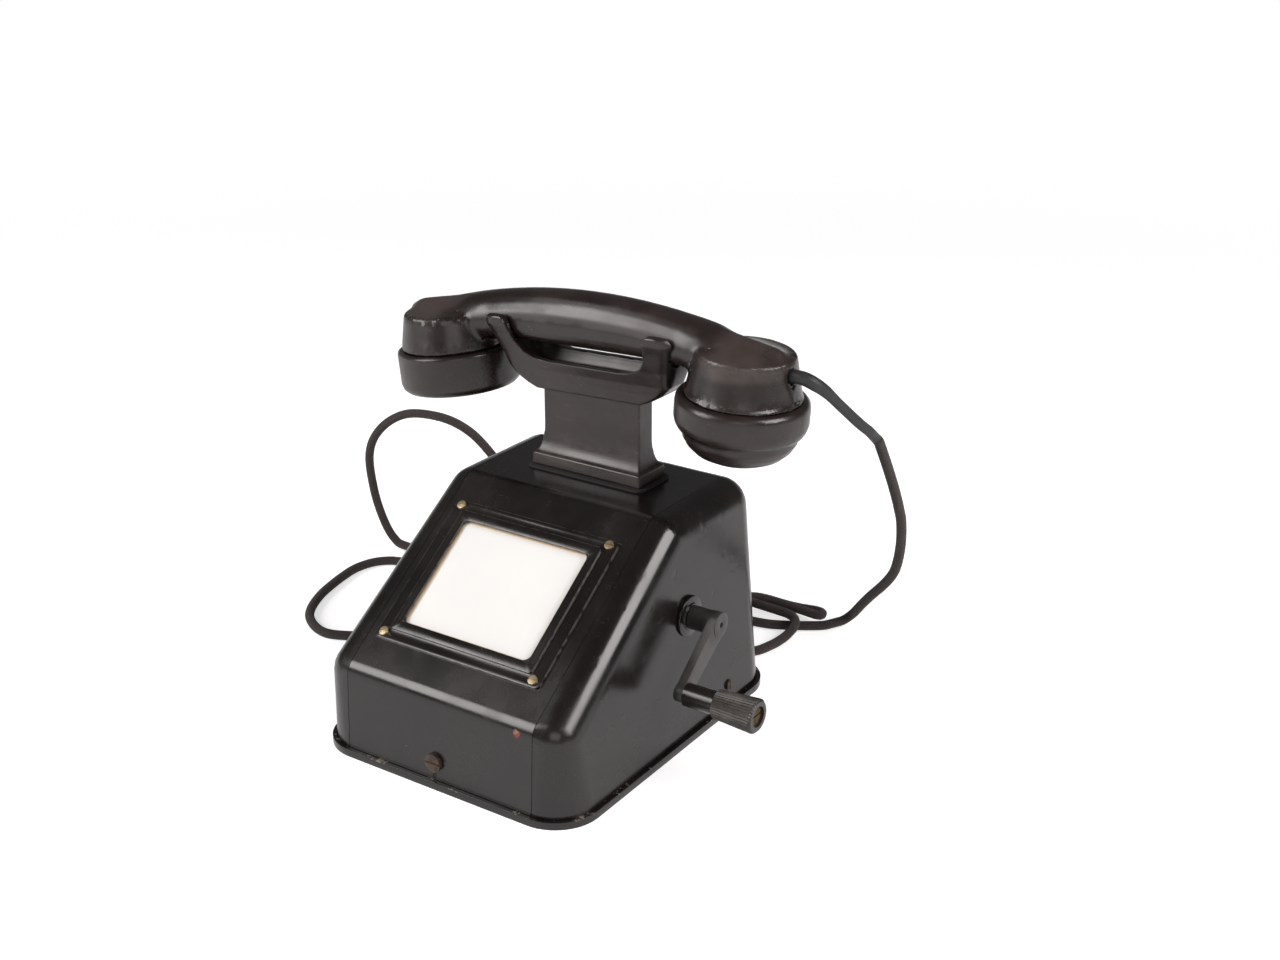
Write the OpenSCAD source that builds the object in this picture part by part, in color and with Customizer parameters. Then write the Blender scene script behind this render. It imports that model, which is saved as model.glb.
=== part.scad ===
// Magneto desk telephone: a sloped sheet-steel case with a hand crank on the
// right, a pedestal with a sprung four-horned cradle, and a moulded handset.
// Origin: centre of the base plate's underside. X to the right, Y to the back.

/* [Case] */
// Width of the base plate
base_w = 160; // [152:1:176]
// Depth of the base plate
base_d = 194; // [188:1:204]
// Corner radius of the base plate in plan
base_r = 24; // [18:1:30]
// Height of the rolled rim round the base plate
rim_h = 4; // [3:0.5:6]
// Thickness of the base sheet
base_t = 1.6; // [1:0.1:2]
// Distance from the rim's outer edge to the case wall
rim_out = 2.4; // [2:0.1:3]
// Height of the flat top above the table
top_z = 120; // [118:1:124]
// Height of the fold between the front wall and the slope
shoulder_z = 48; // [44:1:52]
// Depth position of the fold between the slope and the top
crease_y = 7.6; // [2:0.5:10]
// Depth position of the top back edge
back_y = 85; // [80:1:90]
// Half width of the case at the top
top_half_w = 71.5; // [68:0.5:76]
// Backward lean of the front wall at the fold
front_lean = 2; // [0:0.5:4]
// Rounding of the side edges
edge_r = 15; // [11:0.5:18]
// Rounding of the fold between the front wall and the slope
fold_r = 10; // [4:0.5:12]
// Rounding of the fold between the slope and the top
crease_r = 7; // [4:0.5:10]
// Thickness of the case sheet
sheet_t = 1.2; // [0.8:0.1:1.6]
// Half distance between the two side seams
seam_x = 57; // [54:0.5:60]
// Gap between neighbouring sheets at a seam
seam_gap = 0.3; // [0.2:0.05:0.5]

/* [Card frame] */
// Sideways offset of the frame on the slope
frame_x = -1.5; // [-3:0.5:3]
// Distance of the frame's middle from the fold at the top, along the slope
frame_down = 61; // [58:0.5:64]
// Width of the frame's outer step
frame_w = 101; // [99:1:106]
// Height of the frame's outer step, along the slope
frame_h = 84.5; // [84:0.5:92]
// Thickness of the outer step
frame_t = 1.2; // [1:0.1:1.6]
// Width of the outer step at each side
step_x = 7; // [6:0.5:8]
// Width of the outer step at the top and the bottom
step_y = 5.75; // [5:0.25:7]
// Thickness of the frame at the inner step
inner_t = 2.6; // [2.4:0.1:3]
// Width of the inner step beside the window opening
border_x = 4.7; // [4:0.1:8]
// Width of the inner step above and below the window opening
border_y = 5.2; // [4.5:0.1:8]
// Corner radius of the window opening
window_r = 4; // [2:0.5:6]
// Distance of the frame screws from the frame's side edges
screw_in_x = 4.5; // [4:0.25:4.75]
// Distance of the frame screws from the frame's top and bottom edges
screw_in_y = 3.25; // [2.75:0.25:3.75]
// Thickness of the celluloid window
celluloid_t = 0.6; // [0.4:0.1:0.8]
// Thickness of the name card
card_t = 0.5; // [0.3:0.1:0.6]

/* [Pedestal and cradle] */
// Depth position of the middle of the pedestal
ped_y = 43; // [41:0.5:45]
// Half width of the pedestal's plinth
plinth_hw = 34; // [33:0.5:36]
// Half depth of the pedestal's plinth
plinth_hd = 12.2; // [11.5:0.1:14]
// Height of the plinth's upright edge
plinth_h = 6.5; // [4:0.5:8]
// Half width of the neck
neck_hw = 29.7; // [28:0.1:31]
// Half depth of the neck
neck_hd = 6.1; // [6:0.1:7]
// Height of the concave sweep from plinth to neck
sweep_h = 15; // [10:1:18]
// Height of the neck above the case top, up inside the cradle
neck_h = 50; // [48:0.5:52]
// Thickness of the gasket plate under the plinth
gasket_t = 1.2; // [0.8:0.1:2]
// Height of the cradle's lower edge above the case top, at its middle
cradle_low = 43.1; // [42:0.1:44]
// Height of the cradle from its lower edge to the horn tips
cradle_h = 40; // [39:0.5:42]
// Sideways offset of the cradle
cradle_x = -1; // [-1:0.1:0]
// Half distance between the horn tips, side to side
horn_hw = 57.8; // [56:0.1:59]
// Half depth of the cradle over the horns
horn_hd = 19.8; // [19.4:0.1:22]
// How much higher the trough's back wall is than its front wall
back_rise = 2; // [0:0.2:3]
// Wall thickness of the cradle
cradle_wall = 4; // [3.5:0.1:4.5]
// Travel of the cradle when the handset is lifted
cradle_travel = 4; // [2:0.5:5]
// Radius of the cradle's plunger
plunger_r = 3; // [2.5:0.1:3.5]

/* [Handset] */
// Sideways position of the handset's middle
hs_x = -3.6; // [-5:0.2:0]
// Height of the handset's middle above the case top
hs_up = 81.5; // [81:0.1:83]
// Tilt of the handset, transmitter end up
hs_tilt = 2.3; // [0:0.1:3]
// Distance of each cup's axis from the middle
cup_x = 91; // [89:0.5:92]
// Inward lean of the transmitter cup
cup_lean = 6; // [4:0.5:7]
// Inward lean of the receiver cup
ear_lean = 4.5; // [3:0.5:6]
// Height of the handle at its middle
grip_h = 29; // [26:0.5:30]
// Width of the handle at its middle
grip_w = 28; // [26:0.5:30]
// Radius of the handle's curve along its back
back_curve_r = 332; // [300:5:380]
// Radius of a cup at its upper edge
cup_top_r = 24.6; // [24:0.1:26]
// Radius of the receiver cup at its upper edge
ear_top_r = 26.2; // [25.5:0.1:27]
// Radius of the transmitter cup at its cap
cup_low_r = 30; // [29:0.1:30.5]
// How much of that radius is the flare just above the cap
cup_flare = 1.8; // [1:0.1:2]
// Radius of the receiver cup at its cap
ear_low_r = 29.6; // [28.6:0.1:30]
// Outer radius of the receiver cap
ear_r = 32.3; // [31.8:0.1:33]
// Height of the receiver cap
ear_h = 22.5; // [19:0.5:24]
// Outer radius of the transmitter ring
mouth_r = 33.2; // [31:0.1:34]
// Height of the transmitter ring
mouth_h = 17; // [15:0.5:18]
// Depth of the domed mouthpiece below its ring
mouth_dome = 16; // [12:0.5:18]
// Lift of the handset off the cradle
handset_lift = 70; // [40:5:100]

/* [Crank and magneto] */
// Depth position of the crank axis
crank_y = 15; // [10:0.5:20]
// Height of the crank axis
crank_z = 68; // [64:0.5:72]
// Radius of the crank shaft
shaft_r = 4; // [3:0.5:4.5]
// Distance from the crank axis to the grip axis
crank_throw = 39.5; // [36:0.5:42]
// Angle of the arm below the horizontal, towards the front
crank_rest = 37.5; // [30:0.5:45]
// Distance of the arm's outer face from the middle of the case
arm_x = 93; // [90:0.5:98]
// Thickness of the crank arm
arm_t = 5; // [4:0.5:6]
// Radius of the arm's end round the shaft
arm_r = 6.4; // [6.3:0.1:7]
// Radius of the arm's end round the grip pin
arm_tip_r = 4.7; // [4.4:0.1:6]
// Radius of the grip's smooth sleeve
sleeve_r = 5.8; // [5.2:0.1:6.4]
// Length of the grip's smooth sleeve
sleeve_len = 17; // [12:0.5:22]
// Radius of the knurled grip
knurl_r = 8.7; // [8:0.1:9.5]
// Length of the knurled grip
knurl_len = 22.5; // [18:0.5:26]
// Number of flutes on the knurled grip
flutes = 36; // [24:2:48]
// Teeth of the crank gear
gear_teeth = 60; // [50:2:60]
// Teeth of the armature pinion
pinion_teeth = 12; // [12:1:16]
// Module of the gear teeth
gear_module = 1; // [0.9:0.05:1.05]
// Face width of the gears
gear_face = 4; // [3:0.5:5]
// Radius of the armature
armature_r = 12.6; // [11:0.1:13]
// Air gap between armature and pole pieces
air_gap = 0.4; // [0.3:0.1:0.6]
// Running clearance of shafts in their bores
run_clear = 0.05; // [0.02:0.01:0.09]

/* [Ringer] */
// Radius of a gong
gong_r = 20; // [18:0.5:20.5]
// Height of a gong
gong_h = 11; // [8:0.5:13]
// Half distance between the gong posts
gong_dx = 25.5; // [25:0.5:27]
// Depth position of the gong posts
gong_y = -60; // [-64:1:-56]

/* [Cords] */
// Diameter of the braided cords
cord_d = 5.4; // [4.6:0.1:6]
// Turns in each layer of the line cord's coil
coil_turns = 3; // [2:1:4]
// Diameter of the coil at its middle turns
coil_d = 58; // [54:1:64]

/* [Hidden] */

black = [0.07, 0.07, 0.07];
bakelite = [0.11, 0.09, 0.08];
steel = [0.55, 0.56, 0.58];
brass = [0.78, 0.62, 0.32];
copper = [0.55, 0.27, 0.13];
fine = 48;
soft = 32;

// Case lines
wall_x = base_w / 2 - rim_out;
hs_z = top_z + hs_up;
wall_y = base_d / 2 - rim_out;
inner_w = frame_w - 2 * step_x;
inner_h = frame_h - 2 * step_y;
window_w = inner_w - 2 * border_x;
window_h = inner_h - 2 * border_y;
screw_dx = frame_w - 2 * screw_in_x;
screw_dy = frame_h - 2 * screw_in_y;
wall_r = base_r - rim_out;
shoulder_y = -wall_y + front_lean;
slope_a = atan2(top_z - shoulder_z, crease_y - shoulder_y);
slope_len = norm([top_z - shoulder_z, crease_y - shoulder_y]);
fold_a = 90 - slope_a;
side_lean = (wall_x - top_half_w) / (top_z - edge_r);
case_foot = base_t + 0.1;
// Lean of a case wall whose rounding of radius r is centred dy in from and dz above its foot
function lean(dy, dz, r) = atan2(dy, dz) - asin(r / norm([dy, dz]));
front_a = lean(shoulder_y + fold_r + wall_y, shoulder_z - fold_r * tan(fold_a / 2) - rim_h, fold_r);
back_a = lean(wall_y - back_y + edge_r, top_z - edge_r - rim_h, edge_r);
side_a = lean(wall_x - top_half_w + edge_r, top_z - edge_r - rim_h, edge_r);

// Half width of the case wall at height z
function wall_at(z) = wall_x - side_lean * z;
function side_at(z) = wall_x - (z - rim_h) * tan(side_a);
function front_at(z) = -wall_y + (z - rim_h) * tan(front_a);
function back_at_z(z) = wall_y - (z - rim_h) * tan(back_a);

// Children placed on the front, side or back wall, with Z as its outward normal
module on_front_at(x, z, h = 0) {
    translate([x, front_at(z), z]) rotate([90 - front_a, 0, 0]) translate([0, 0, h]) children();
}
module on_side_at(y, z, h = 0) {
    translate([side_at(z), y, z]) rotate([0, 90 - side_a, 0]) translate([0, 0, h]) children();
}
module on_back_at(x, z, h = 0) {
    translate([x, back_at_z(z), z]) rotate([back_a - 90, 0, 0]) translate([0, 0, h]) children();
}
// A place on the slope: x, distance down from the top fold, height above it
function on_slope(x, s, h) = [
    x, crease_y - s * cos(slope_a) - h * sin(slope_a),
    top_z - s * sin(slope_a) + h * cos(slope_a)];

// Handset lines
rise = back_curve_r * (1 - cos(asin(86 / back_curve_r)));
end_slope = 0.2;
end_drop = 7;
ear_drop = 2;
ridge_end = 115;
// how much farther the ridge reaches over the wider receiver cup
ear_reach = ear_top_r - cup_top_r + 0.6;
rim_z = grip_h / 2 - rise - 7.65;

/* Shared shapes */

// A flat plate with round corners, from the given height up
module round_plate(w, d, r, t) {
    linear_extrude(t) {
        square([w - 2 * r, d], center = true);
        square([w, d - 2 * r], center = true);
        for (x = [-1, 1], y = [-1, 1])
            translate([x * (w / 2 - r), y * (d / 2 - r)]) circle(r, $fn = fine);
    }
}

// A cylinder along X, from x0 to x1
module rod_x(x0, x1, y, z, r) {
    translate([x0, y, z]) rotate([0, 90, 0])
        cylinder(h = x1 - x0, r = r, $fn = fine);
}

// Children placed on the slope, with Z as its outward normal
module on_slope_at(x, s, h = 0) {
    translate(on_slope(x, s, h)) rotate([slope_a, 0, 0]) children();
}

// A slotted screw with its head's underside at z = 0 and its shank below
module slotted_screw(head_r, head_h, shank_r, shank_len, slot_w) {
    difference() {
        union() {
            cylinder(h = head_h, r = head_r, $fn = fine);
            translate([0, 0, -shank_len])
                cylinder(h = shank_len + 0.01, r = shank_r, $fn = fine);
        }
        translate([-head_r - 1, -slot_w / 2, head_h * 0.45])
            cube([2 * head_r + 2, slot_w, head_h]);
    }
}

// A closed tube through points, with n sides and a radius for each end
function unit(v) = v / norm(v);
function along(p, i) = unit(
    i == 0 ? p[1] - p[0] :
    i == len(p) - 1 ? p[i] - p[i - 1] : unit(p[i + 1] - p[i]) + unit(p[i] - p[i - 1]));
function side_next(s, t) = unit(s - (s * t) * t);
function side_list(p, s, i = 0) =
    i == len(p) ? [] :
    let (q = side_next(s, along(p, i))) concat([q], side_list(p, q, i + 1));
function tube_points(p, r, n, start) =
    let (s = side_list(p, start))
    [for (i = [0:len(p) - 1]) let (t = along(p, i), u = s[i], v = cross(t, u))
        for (k = [0:n - 1]) p[i] + r[i] * (cos(360 * k / n) * u + sin(360 * k / n) * v)];
function tube_faces(m, n) = concat(
    [[for (k = [0:n - 1]) k]],
    [[for (k = [n - 1:-1:0]) (m - 1) * n + k]],
    [for (i = [0:m - 2]) for (k = [0:n - 1])
        [i * n + k, (i + 1) * n + k, (i + 1) * n + (k + 1) % n, i * n + (k + 1) % n]]);
module tube(p, r, n, start = [0, 0, 1]) {
    radii = is_list(r) ? r : [for (q = p) r];
    polyhedron(tube_points(p, radii, n, start), tube_faces(len(p), n));
}

// A closed form through rings of n points each, run anticlockwise round their direction
module loft(rings) {
    polyhedron([for (r = rings) for (q = r) q], tube_faces(len(rings), len(rings[0])));
}
// A level ring: a rectangle with rounded corners, half sizes w and d, at height z
function level_ring(z, w, d, r) = [
    for (q = [0:3]) for (j = [0:6]) let (a = 90 * q + 15 * j)
        [(q == 0 || q == 3 ? 1 : -1) * (w - r) + r * cos(a), (q < 2 ? 1 : -1) * (d - r) + r * sin(a), z]];

// Points of a smooth curve through p, with k steps for each stretch
function curve_point(p, i, t) =
    let (a = p[max(i - 1, 0)], b = p[i], c = p[i + 1], d = p[min(i + 2, len(p) - 1)])
    0.5 * (2 * b + (c - a) * t + (2 * a - 5 * b + 4 * c - d) * t * t
        + (3 * b - a - 3 * c + d) * t * t * t);
function smooth(p, k) = concat(
    [for (i = [0:len(p) - 2]) for (j = [0:k - 1]) curve_point(p, i, j / k)],
    [p[len(p) - 1]]);
// The same with its first and last stretches kept straight
function route(p, k) = concat(
    [p[0]], smooth([for (i = [1:len(p) - 2]) p[i]], k), [p[len(p) - 1]]);
function run_length(p, i = 1) = i >= len(p) ? 0 : norm(p[i] - p[i - 1]) + run_length(p, i + 1);

/* Case */

// The closed form of the case, drawn in by t on every side
module case_form(t) {
    sx = top_half_w - edge_r;
    hull() {
        for (x = [-1, 1]) {
            translate([x * sx, crease_y + edge_r * tan(slope_a / 2), top_z - edge_r])
                sphere(edge_r - t, $fn = soft);
            translate([x * sx, back_y - edge_r, top_z - edge_r])
                sphere(edge_r - t, $fn = soft);
            translate([x * (wall_at(shoulder_z) - edge_r),
                shoulder_y + edge_r, shoulder_z - edge_r * tan(fold_a / 2)])
                sphere(edge_r - t, $fn = soft);
            for (y = [-1, 1])
                translate([x * (wall_x - wall_r), y * (wall_y - wall_r), t > 0 ? -2 : case_foot])
                    cylinder(h = rim_h - case_foot + (t > 0 ? 4 : 0), r = wall_r - t, $fn = fine);
        }
        rod_x(-sx, sx, crease_y + crease_r * tan(slope_a / 2), top_z - crease_r, crease_r - t);
        rod_x(-sx, sx, shoulder_y + fold_r, shoulder_z - fold_r * tan(fold_a / 2), fold_r - t);
    }
}

// The sheet of the case as one skin
module case_skin() {
    difference() {
        case_form(0);
        case_form(sheet_t);
    }
}

module between(x0, x1) {
    translate([x0, -base_d, -5]) cube([x1 - x0, 2 * base_d, top_z + 20]);
}

module base_plate() {
    color(black) difference() {
        round_plate(base_w, base_d, base_r, rim_h);
        translate([0, 0, base_t])
            round_plate(base_w - 2 * rim_out + 0.6, base_d - 2 * rim_out + 0.6, wall_r + 0.3, rim_h);
    }
}

front_screw_z = 13.6;
module case_centre_panel() {
    color(black) difference() {
        intersection() {
            case_skin();
            between(-seam_x + seam_gap / 2, seam_x - seam_gap / 2);
        }
        // hole for the front screw
        on_front_at(frame_x, front_screw_z, -4) cylinder(h = 8, r = 2.2, $fn = fine);
        // holes for the frame screws
        for (x = [-1, 1], s = [-1, 1])
            on_slope_at(frame_x + x * screw_dx / 2, frame_down + s * screw_dy / 2, -4)
                cylinder(h = 8, r = 1.3, $fn = fine);
        // passage for the plunger; its edge carries the return spring
        translate([0, ped_y, top_z - 5]) cylinder(h = 10, r = plunger_r + 0.35, $fn = fine);
        // cord holes in the back wall
        for (x = gland_x) on_back_at(x, gland_z, -8)
            cylinder(h = 16, r = gland_r + 0.2, $fn = fine);
    }
}

module case_left_shell() {
    color(black) intersection() {
        case_skin();
        between(-base_w, -seam_x - seam_gap / 2);
    }
}

module case_right_shell() {
    color(black) difference() {
        intersection() {
            case_skin();
            between(seam_x + seam_gap / 2, base_w);
        }
        rod_x(wall_x - 20, wall_x + 5, crank_y, crank_z, bush_r + 0.3);
        for (y = side_screw_y)
            on_side_at(y, side_screw_z, -5) cylinder(h = 10, r = 2.2, $fn = fine);
    }
}

/* Card frame */

module card_frame() {
    color(black) on_slope_at(frame_x, frame_down, 0.1) difference() {
        union() {
            round_plate(frame_w, frame_h, 3, frame_t);
            round_plate(inner_w, inner_h, 2, inner_t);
        }
        translate([0, 0, -1]) round_plate(window_w, window_h, window_r, 6);
        translate([0, 0, -1])
            round_plate(window_w + 5, window_h + 5, 2, 1 + card_t + celluloid_t + 0.2);
        for (x = [-1, 1], y = [-1, 1])
            translate([x * screw_dx / 2, y * screw_dy / 2, -1])
                cylinder(h = 5, r = 1.3, $fn = fine);
    }
}

module name_card() {
    color("white") on_slope_at(frame_x, frame_down, 0.1)
        round_plate(window_w + 4, window_h + 4, 1, card_t);
}

module card_window() {
    color([0.9, 0.9, 0.85, 0.3]) on_slope_at(frame_x, frame_down, 0.15 + card_t)
        round_plate(window_w + 4, window_h + 4, 1, celluloid_t);
}

module frame_screws() {
    color(brass) for (x = [-1, 1], s = [-1, 1])
        on_slope_at(frame_x + x * screw_dx / 2, frame_down + s * screw_dy / 2, 0.1 + frame_t)
            intersection() {
                slotted_screw(2.4, 1.4, 1.15, 5, 0.6);
                translate([0, 0, -3.2]) sphere(5.2, $fn = soft + 4);
            }
}

module front_screw() {
    color(black) on_front_at(frame_x, front_screw_z, 0.05) slotted_screw(4.7, 2, 2, 5, 1.1);
}

side_screw_y = [50.5];
side_screw_z = 14;
module side_screws() {
    color(black) for (y = side_screw_y)
        on_side_at(y, side_screw_z, 0.1) slotted_screw(2.8, 0.9, 2, 6, 0.7);
}

/* Pedestal and cradle */

gasket_z = top_z + 0.05;
plinth_z = gasket_z + gasket_t;
neck_z = top_z + neck_h;
spring_well_r = 4.9;
spring_top = top_z + 15;
well_top = spring_top + 2 + cradle_travel + 0.5;

module pedestal_gasket() {
    color(black) translate([0, ped_y, gasket_z]) difference() {
        round_plate(2 * plinth_hw + 5, 2 * plinth_hd + 5, 5, gasket_t);
        translate([0, 0, -1]) cylinder(h = 5, r = spring_well_r, $fn = fine);
    }
}

// Right half of the pedestal's outline from plinth to neck, for the half sizes p and n
function sweep_side(p, n) = concat(
    [[p, 0], [p - 0.6, plinth_h]],
    [for (a = [10:10:90]) [n + (p - 0.6 - n) * (1 - sin(a)), plinth_h + sweep_h * (1 - cos(a))]],
    [[n, neck_z - plinth_z]]);
// The whole outline, from one half
function both_sides(h) = concat(h, [for (i = [len(h) - 1:-1:0]) [-h[i][0], h[i][1]]]);

module pedestal() {
    color(bakelite) difference() {
        translate([0, ped_y, plinth_z]) intersection() {
            rotate([90, 0, 0]) linear_extrude(60, center = true)
                polygon(both_sides(sweep_side(plinth_hw, neck_hw)));
            rotate([90, 0, 90]) linear_extrude(120, center = true)
                polygon(both_sides(sweep_side(plinth_hd, neck_hd)));
        }
        translate([0, ped_y, plinth_z - 1])
            cylinder(h = 80, r = plunger_r + run_clear, $fn = fine);
        // well for the return spring and the plunger's collar
        translate([0, ped_y, plinth_z - 1])
            cylinder(h = well_top - plinth_z + 1, r = spring_well_r, $fn = fine);
    }
}

cradle_z = top_z + cradle_low;
socket_gap = 0.4;
socket_top = neck_z + 0.3;
floor_h = 11.2;
// Levels of the cradle's outside: height, half width, half depth, corner radius
cradle_levels = [
    [0, neck_hw + 2.6, neck_hd + 1.5, 0.8], [2.5, neck_hw + 9, neck_hd + 1.8, 1.8],
    [6, horn_hw - 12.8, neck_hd + 2.3, 3], [11, horn_hw - 7.8, neck_hd + 3.3, 4.5],
    [19.5, horn_hw - 4.8, horn_hd - 7.4, 7], [29.5, horn_hw - 1.4, horn_hd - 3.2, 7.5],
    [cradle_h - 5, horn_hw, horn_hd - 0.6, 7.5], [cradle_h - 3, horn_hw - 0.6, horn_hd - 0.2, 7.5],
    [cradle_h - 1.4, horn_hw - 1.9, horn_hd, 7], [cradle_h - 0.4, horn_hw - 3.6, horn_hd - 0.7, 6.5],
    [cradle_h, horn_hw - 5.4, horn_hd - 1.9, 6]];
// Levels of its trough
trough_levels = [
    [floor_h, 37, 4.4, 3], [floor_h + 1.2, 40, 5.6, 4], [floor_h + 5, 43.5, 7.4, 5],
    [19.5, 46, horn_hd - 7.4 - cradle_wall, 6], [29.5, horn_hw - 7, horn_hd - 3.2 - cradle_wall, 6],
    [cradle_h - 3, horn_hw - 5, horn_hd - 0.4 - cradle_wall, 6],
    [cradle_h + 5, horn_hw - 4.6, horn_hd - cradle_wall, 6]];
// Half outline of the opening between the horns, seen from the front, over a wall raised by that much
function gap_front(rise) = [
    [0, 16.4 + rise], [22, 16.4 + rise], [30, 17.6 + rise], [36.2, 20.9 + rise * 0.7], [39.6, 25.6],
    [41.2, 32], [42, cradle_h - 3.4], [43, cradle_h - 1.4], [45.2, cradle_h + 0.1], [45.2, cradle_h + 6],
    [0, cradle_h + 6]];
// Half outline of the handle's seat, seen from the side
gap_side = [
    [0, 22.5], [7, 22.5], [10.2, 24.1], [12.6, 26.6], [14, 29.6], [14.7, 33.4], [15, cradle_h - 2],
    [15.5, cradle_h - 0.6], [16.4, cradle_h + 0.1], [16.4, cradle_h + 6], [0, cradle_h + 6]];

module cradle_place() {
    translate([cradle_x, ped_y, cradle_z]) rotate([0, -hs_tilt, 0]) children();
}

module cradle() {
    color(bakelite) difference() {
        cradle_place() difference() {
            loft([for (q = cradle_levels) level_ring(q[0], q[1], q[2], q[3])]);
            loft([for (q = trough_levels) level_ring(q[0], q[1], q[2], q[3])]);
            for (s = [-1, 1]) translate([0, 15 * s, 0]) rotate([90, 0, 0])
                linear_extrude(30.02, center = true) {
                    polygon(gap_front(s > 0 ? back_rise : 0));
                    mirror([1, 0]) polygon(gap_front(s > 0 ? back_rise : 0));
                }
            rotate([90, 0, 90]) linear_extrude(140, center = true) {
                polygon(gap_side);
                mirror([1, 0]) polygon(gap_side);
            }
        }
        // socket over the pedestal's neck
        translate([-neck_hw - socket_gap, ped_y - neck_hd - socket_gap, cradle_z - 10])
            cube([2 * (neck_hw + socket_gap), 2 * (neck_hd + socket_gap), socket_top - cradle_z + 10]);
        translate([0, ped_y, cradle_z]) cylinder(h = plunger_high - cradle_z, r = plunger_r, $fn = fine);
    }
}

plunger_low = top_z - 13;
plunger_high = socket_top + 2;
module cradle_plunger() {
    color(steel) translate([0, ped_y, 0]) {
        translate([0, 0, plunger_low]) cylinder(h = plunger_high - plunger_low, r = plunger_r, $fn = fine);
        // collar that the spring pushes up
        translate([0, 0, spring_top + 0.3]) cylinder(h = 1.5, r = spring_well_r - 0.6, $fn = fine);
    }
}

module cradle_spring() {
    turns = 5;
    wire_r = 0.45;
    mid_r = plunger_r + 0.45 + wire_r;
    low = top_z + wire_r + 0.05;
    high = spring_top - wire_r + 0.25;
    color(steel) translate([0, ped_y, 0]) tube(
        [for (i = [0:turns * 12]) [mid_r * cos(30 * i), mid_r * sin(30 * i),
            low + (high - low) * i / (turns * 12)]], wire_r, 6);
}

blade_t = 0.6;
function blade_z(i) = plunger_low - 0.3 - blade_t - 5 * (2 - i);
module switch_block() {
    color(bakelite) difference() {
        translate([-44, ped_y - 9, blade_z(0) - 3]) cube([14, 18, top_z - sheet_t - 0.05 - blade_z(0) + 3]);
        for (i = [0:2]) translate([-45, ped_y - 4, blade_z(i) - 0.05]) cube([16, 8, blade_t + 0.1]);
    }
}

module switch_blades() {
    color(brass) for (i = [0:2])
        translate([-50 + 2 * i, ped_y - 3.6, blade_z(i)]) cube([58 - 4 * i, 7.2, blade_t]);
}

/* Handset */

module hs_place() {
    translate([hs_x, ped_y, hs_z]) rotate([0, -hs_tilt, 0]) children();
}

// Smooth step from 0 at a to 1 at b
function step_at(x, a, b) = let (u = max(0, min(1, (x - a) / (b - a)))) u * u * (3 - 2 * u);
// Height of the handle's back at distance x from the middle, with a rounded drop at its ends
function back_at(x) = let (a = min(abs(x), 86))
    grip_h / 2 - back_curve_r * (1 - cos(asin(a / back_curve_r)))
    - max(abs(x) - 86, 0) * end_slope
    - (x < 0 ? ear_drop : end_drop) * pow(max(abs(x) - 107, 0) / (ridge_end - 107), 2);
// Height of the handle's underside, which ends inside the cups' tops
function under_at(x) = let (a = max(abs(x) - 30, 0), u = step_at(abs(x), 66, 80))
    (1 - u) * (-grip_h / 2 - 0.0018 * a * a) + u * (rim_z - 4 - (abs(x) - 80) * 0.05);
// Half width of the handle, narrowing to a ridge over the cups
function half_at(x) = let (a = abs(x))
    grip_w / 2 + step_at(a, 58, 66) - 7 * step_at(a, 66, 92) - 3.4 * step_at(a, 92, ridge_end);

// One section of the handle: a rounded form, narrower at the back
function grip_ring(x, n) =
    let (t = back_at(x), b = under_at(x), m = (t + b) / 2 - 1, w = half_at(x))
    [for (k = [0:n - 1]) let (a = 360 * k / n, c = cos(a), s = sin(a))
        [x - (x < 0 ? ear_reach * step_at(-x, 88, 109) : 0),
            w * sign(c) * pow(abs(c), 0.8) * (s > 0 ? 1 - 0.18 * s : 1),
            m + (s > 0 ? t - m : m - b) * sign(s) * pow(abs(s), 0.9)]];

module grip_body() {
    n = 20;
    half = [10, 20, 30, 40, 50, 58, 64, 70, 76, 82, 88, 94, 100, 105, 109, 111.5, 113.5, ridge_end];
    xs = concat([for (i = [len(half) - 1:-1:0]) -half[i]], [0], half);
    polyhedron([for (x = xs) for (q = grip_ring(x, n)) q], tube_faces(len(xs), n));
}

// Cup frame: origin on the cup's axis at its upper edge, Z along the axis
module cup_place(side) {
    translate([side * cup_x, 0, rim_z]) rotate([0, side > 0 ? cup_lean : -ear_lean, 0]) children();
}

cup_h_ear = 19.5;
cup_h_mouth = 21.8;
cup_wall = 3;

// A cup: a slight cone with a flat top, flared at its end, and the neck that the cap goes over
module cup(h, top_r, low_r, flare) {
    rotate_extrude($fn = 2 * fine) polygon([
        [0, 0.5], [top_r * 0.6, 0.3], [top_r - 1.2, 0], [top_r - 0.4, -0.4], [top_r, -1.2],
        [low_r - flare, -h + 3.6], [low_r - flare * 0.6, -h + 1.4], [low_r, -h], [low_r - 2.4, -h],
        [low_r - 2.4, -h - 8], [0, -h - 8]]);
}

module cup_hollow(h, low_r) {
    translate([0, 0, -h - 9]) cylinder(h = h + 3, r = low_r - 2.4 - cup_wall, $fn = 2 * fine);
}

module handset_handle() {
    color(bakelite) hs_place() difference() {
        union() {
            grip_body();
            cup_place(1) cup(cup_h_mouth, cup_top_r, cup_low_r, cup_flare);
            cup_place(-1) cup(cup_h_ear, ear_top_r, ear_low_r, 0.5);
        }
        cup_place(1) cup_hollow(cup_h_mouth, cup_low_r - cup_flare);
        cup_place(-1) cup_hollow(cup_h_ear, ear_low_r);
        // entry for the cord's sleeve
        translate([cup_x + 12, 0, cord_exit_z]) rotate([0, 90, 0])
            cylinder(h = 40, r = sleeve_root_r + 0.2, $fn = fine);
    }
}

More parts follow.
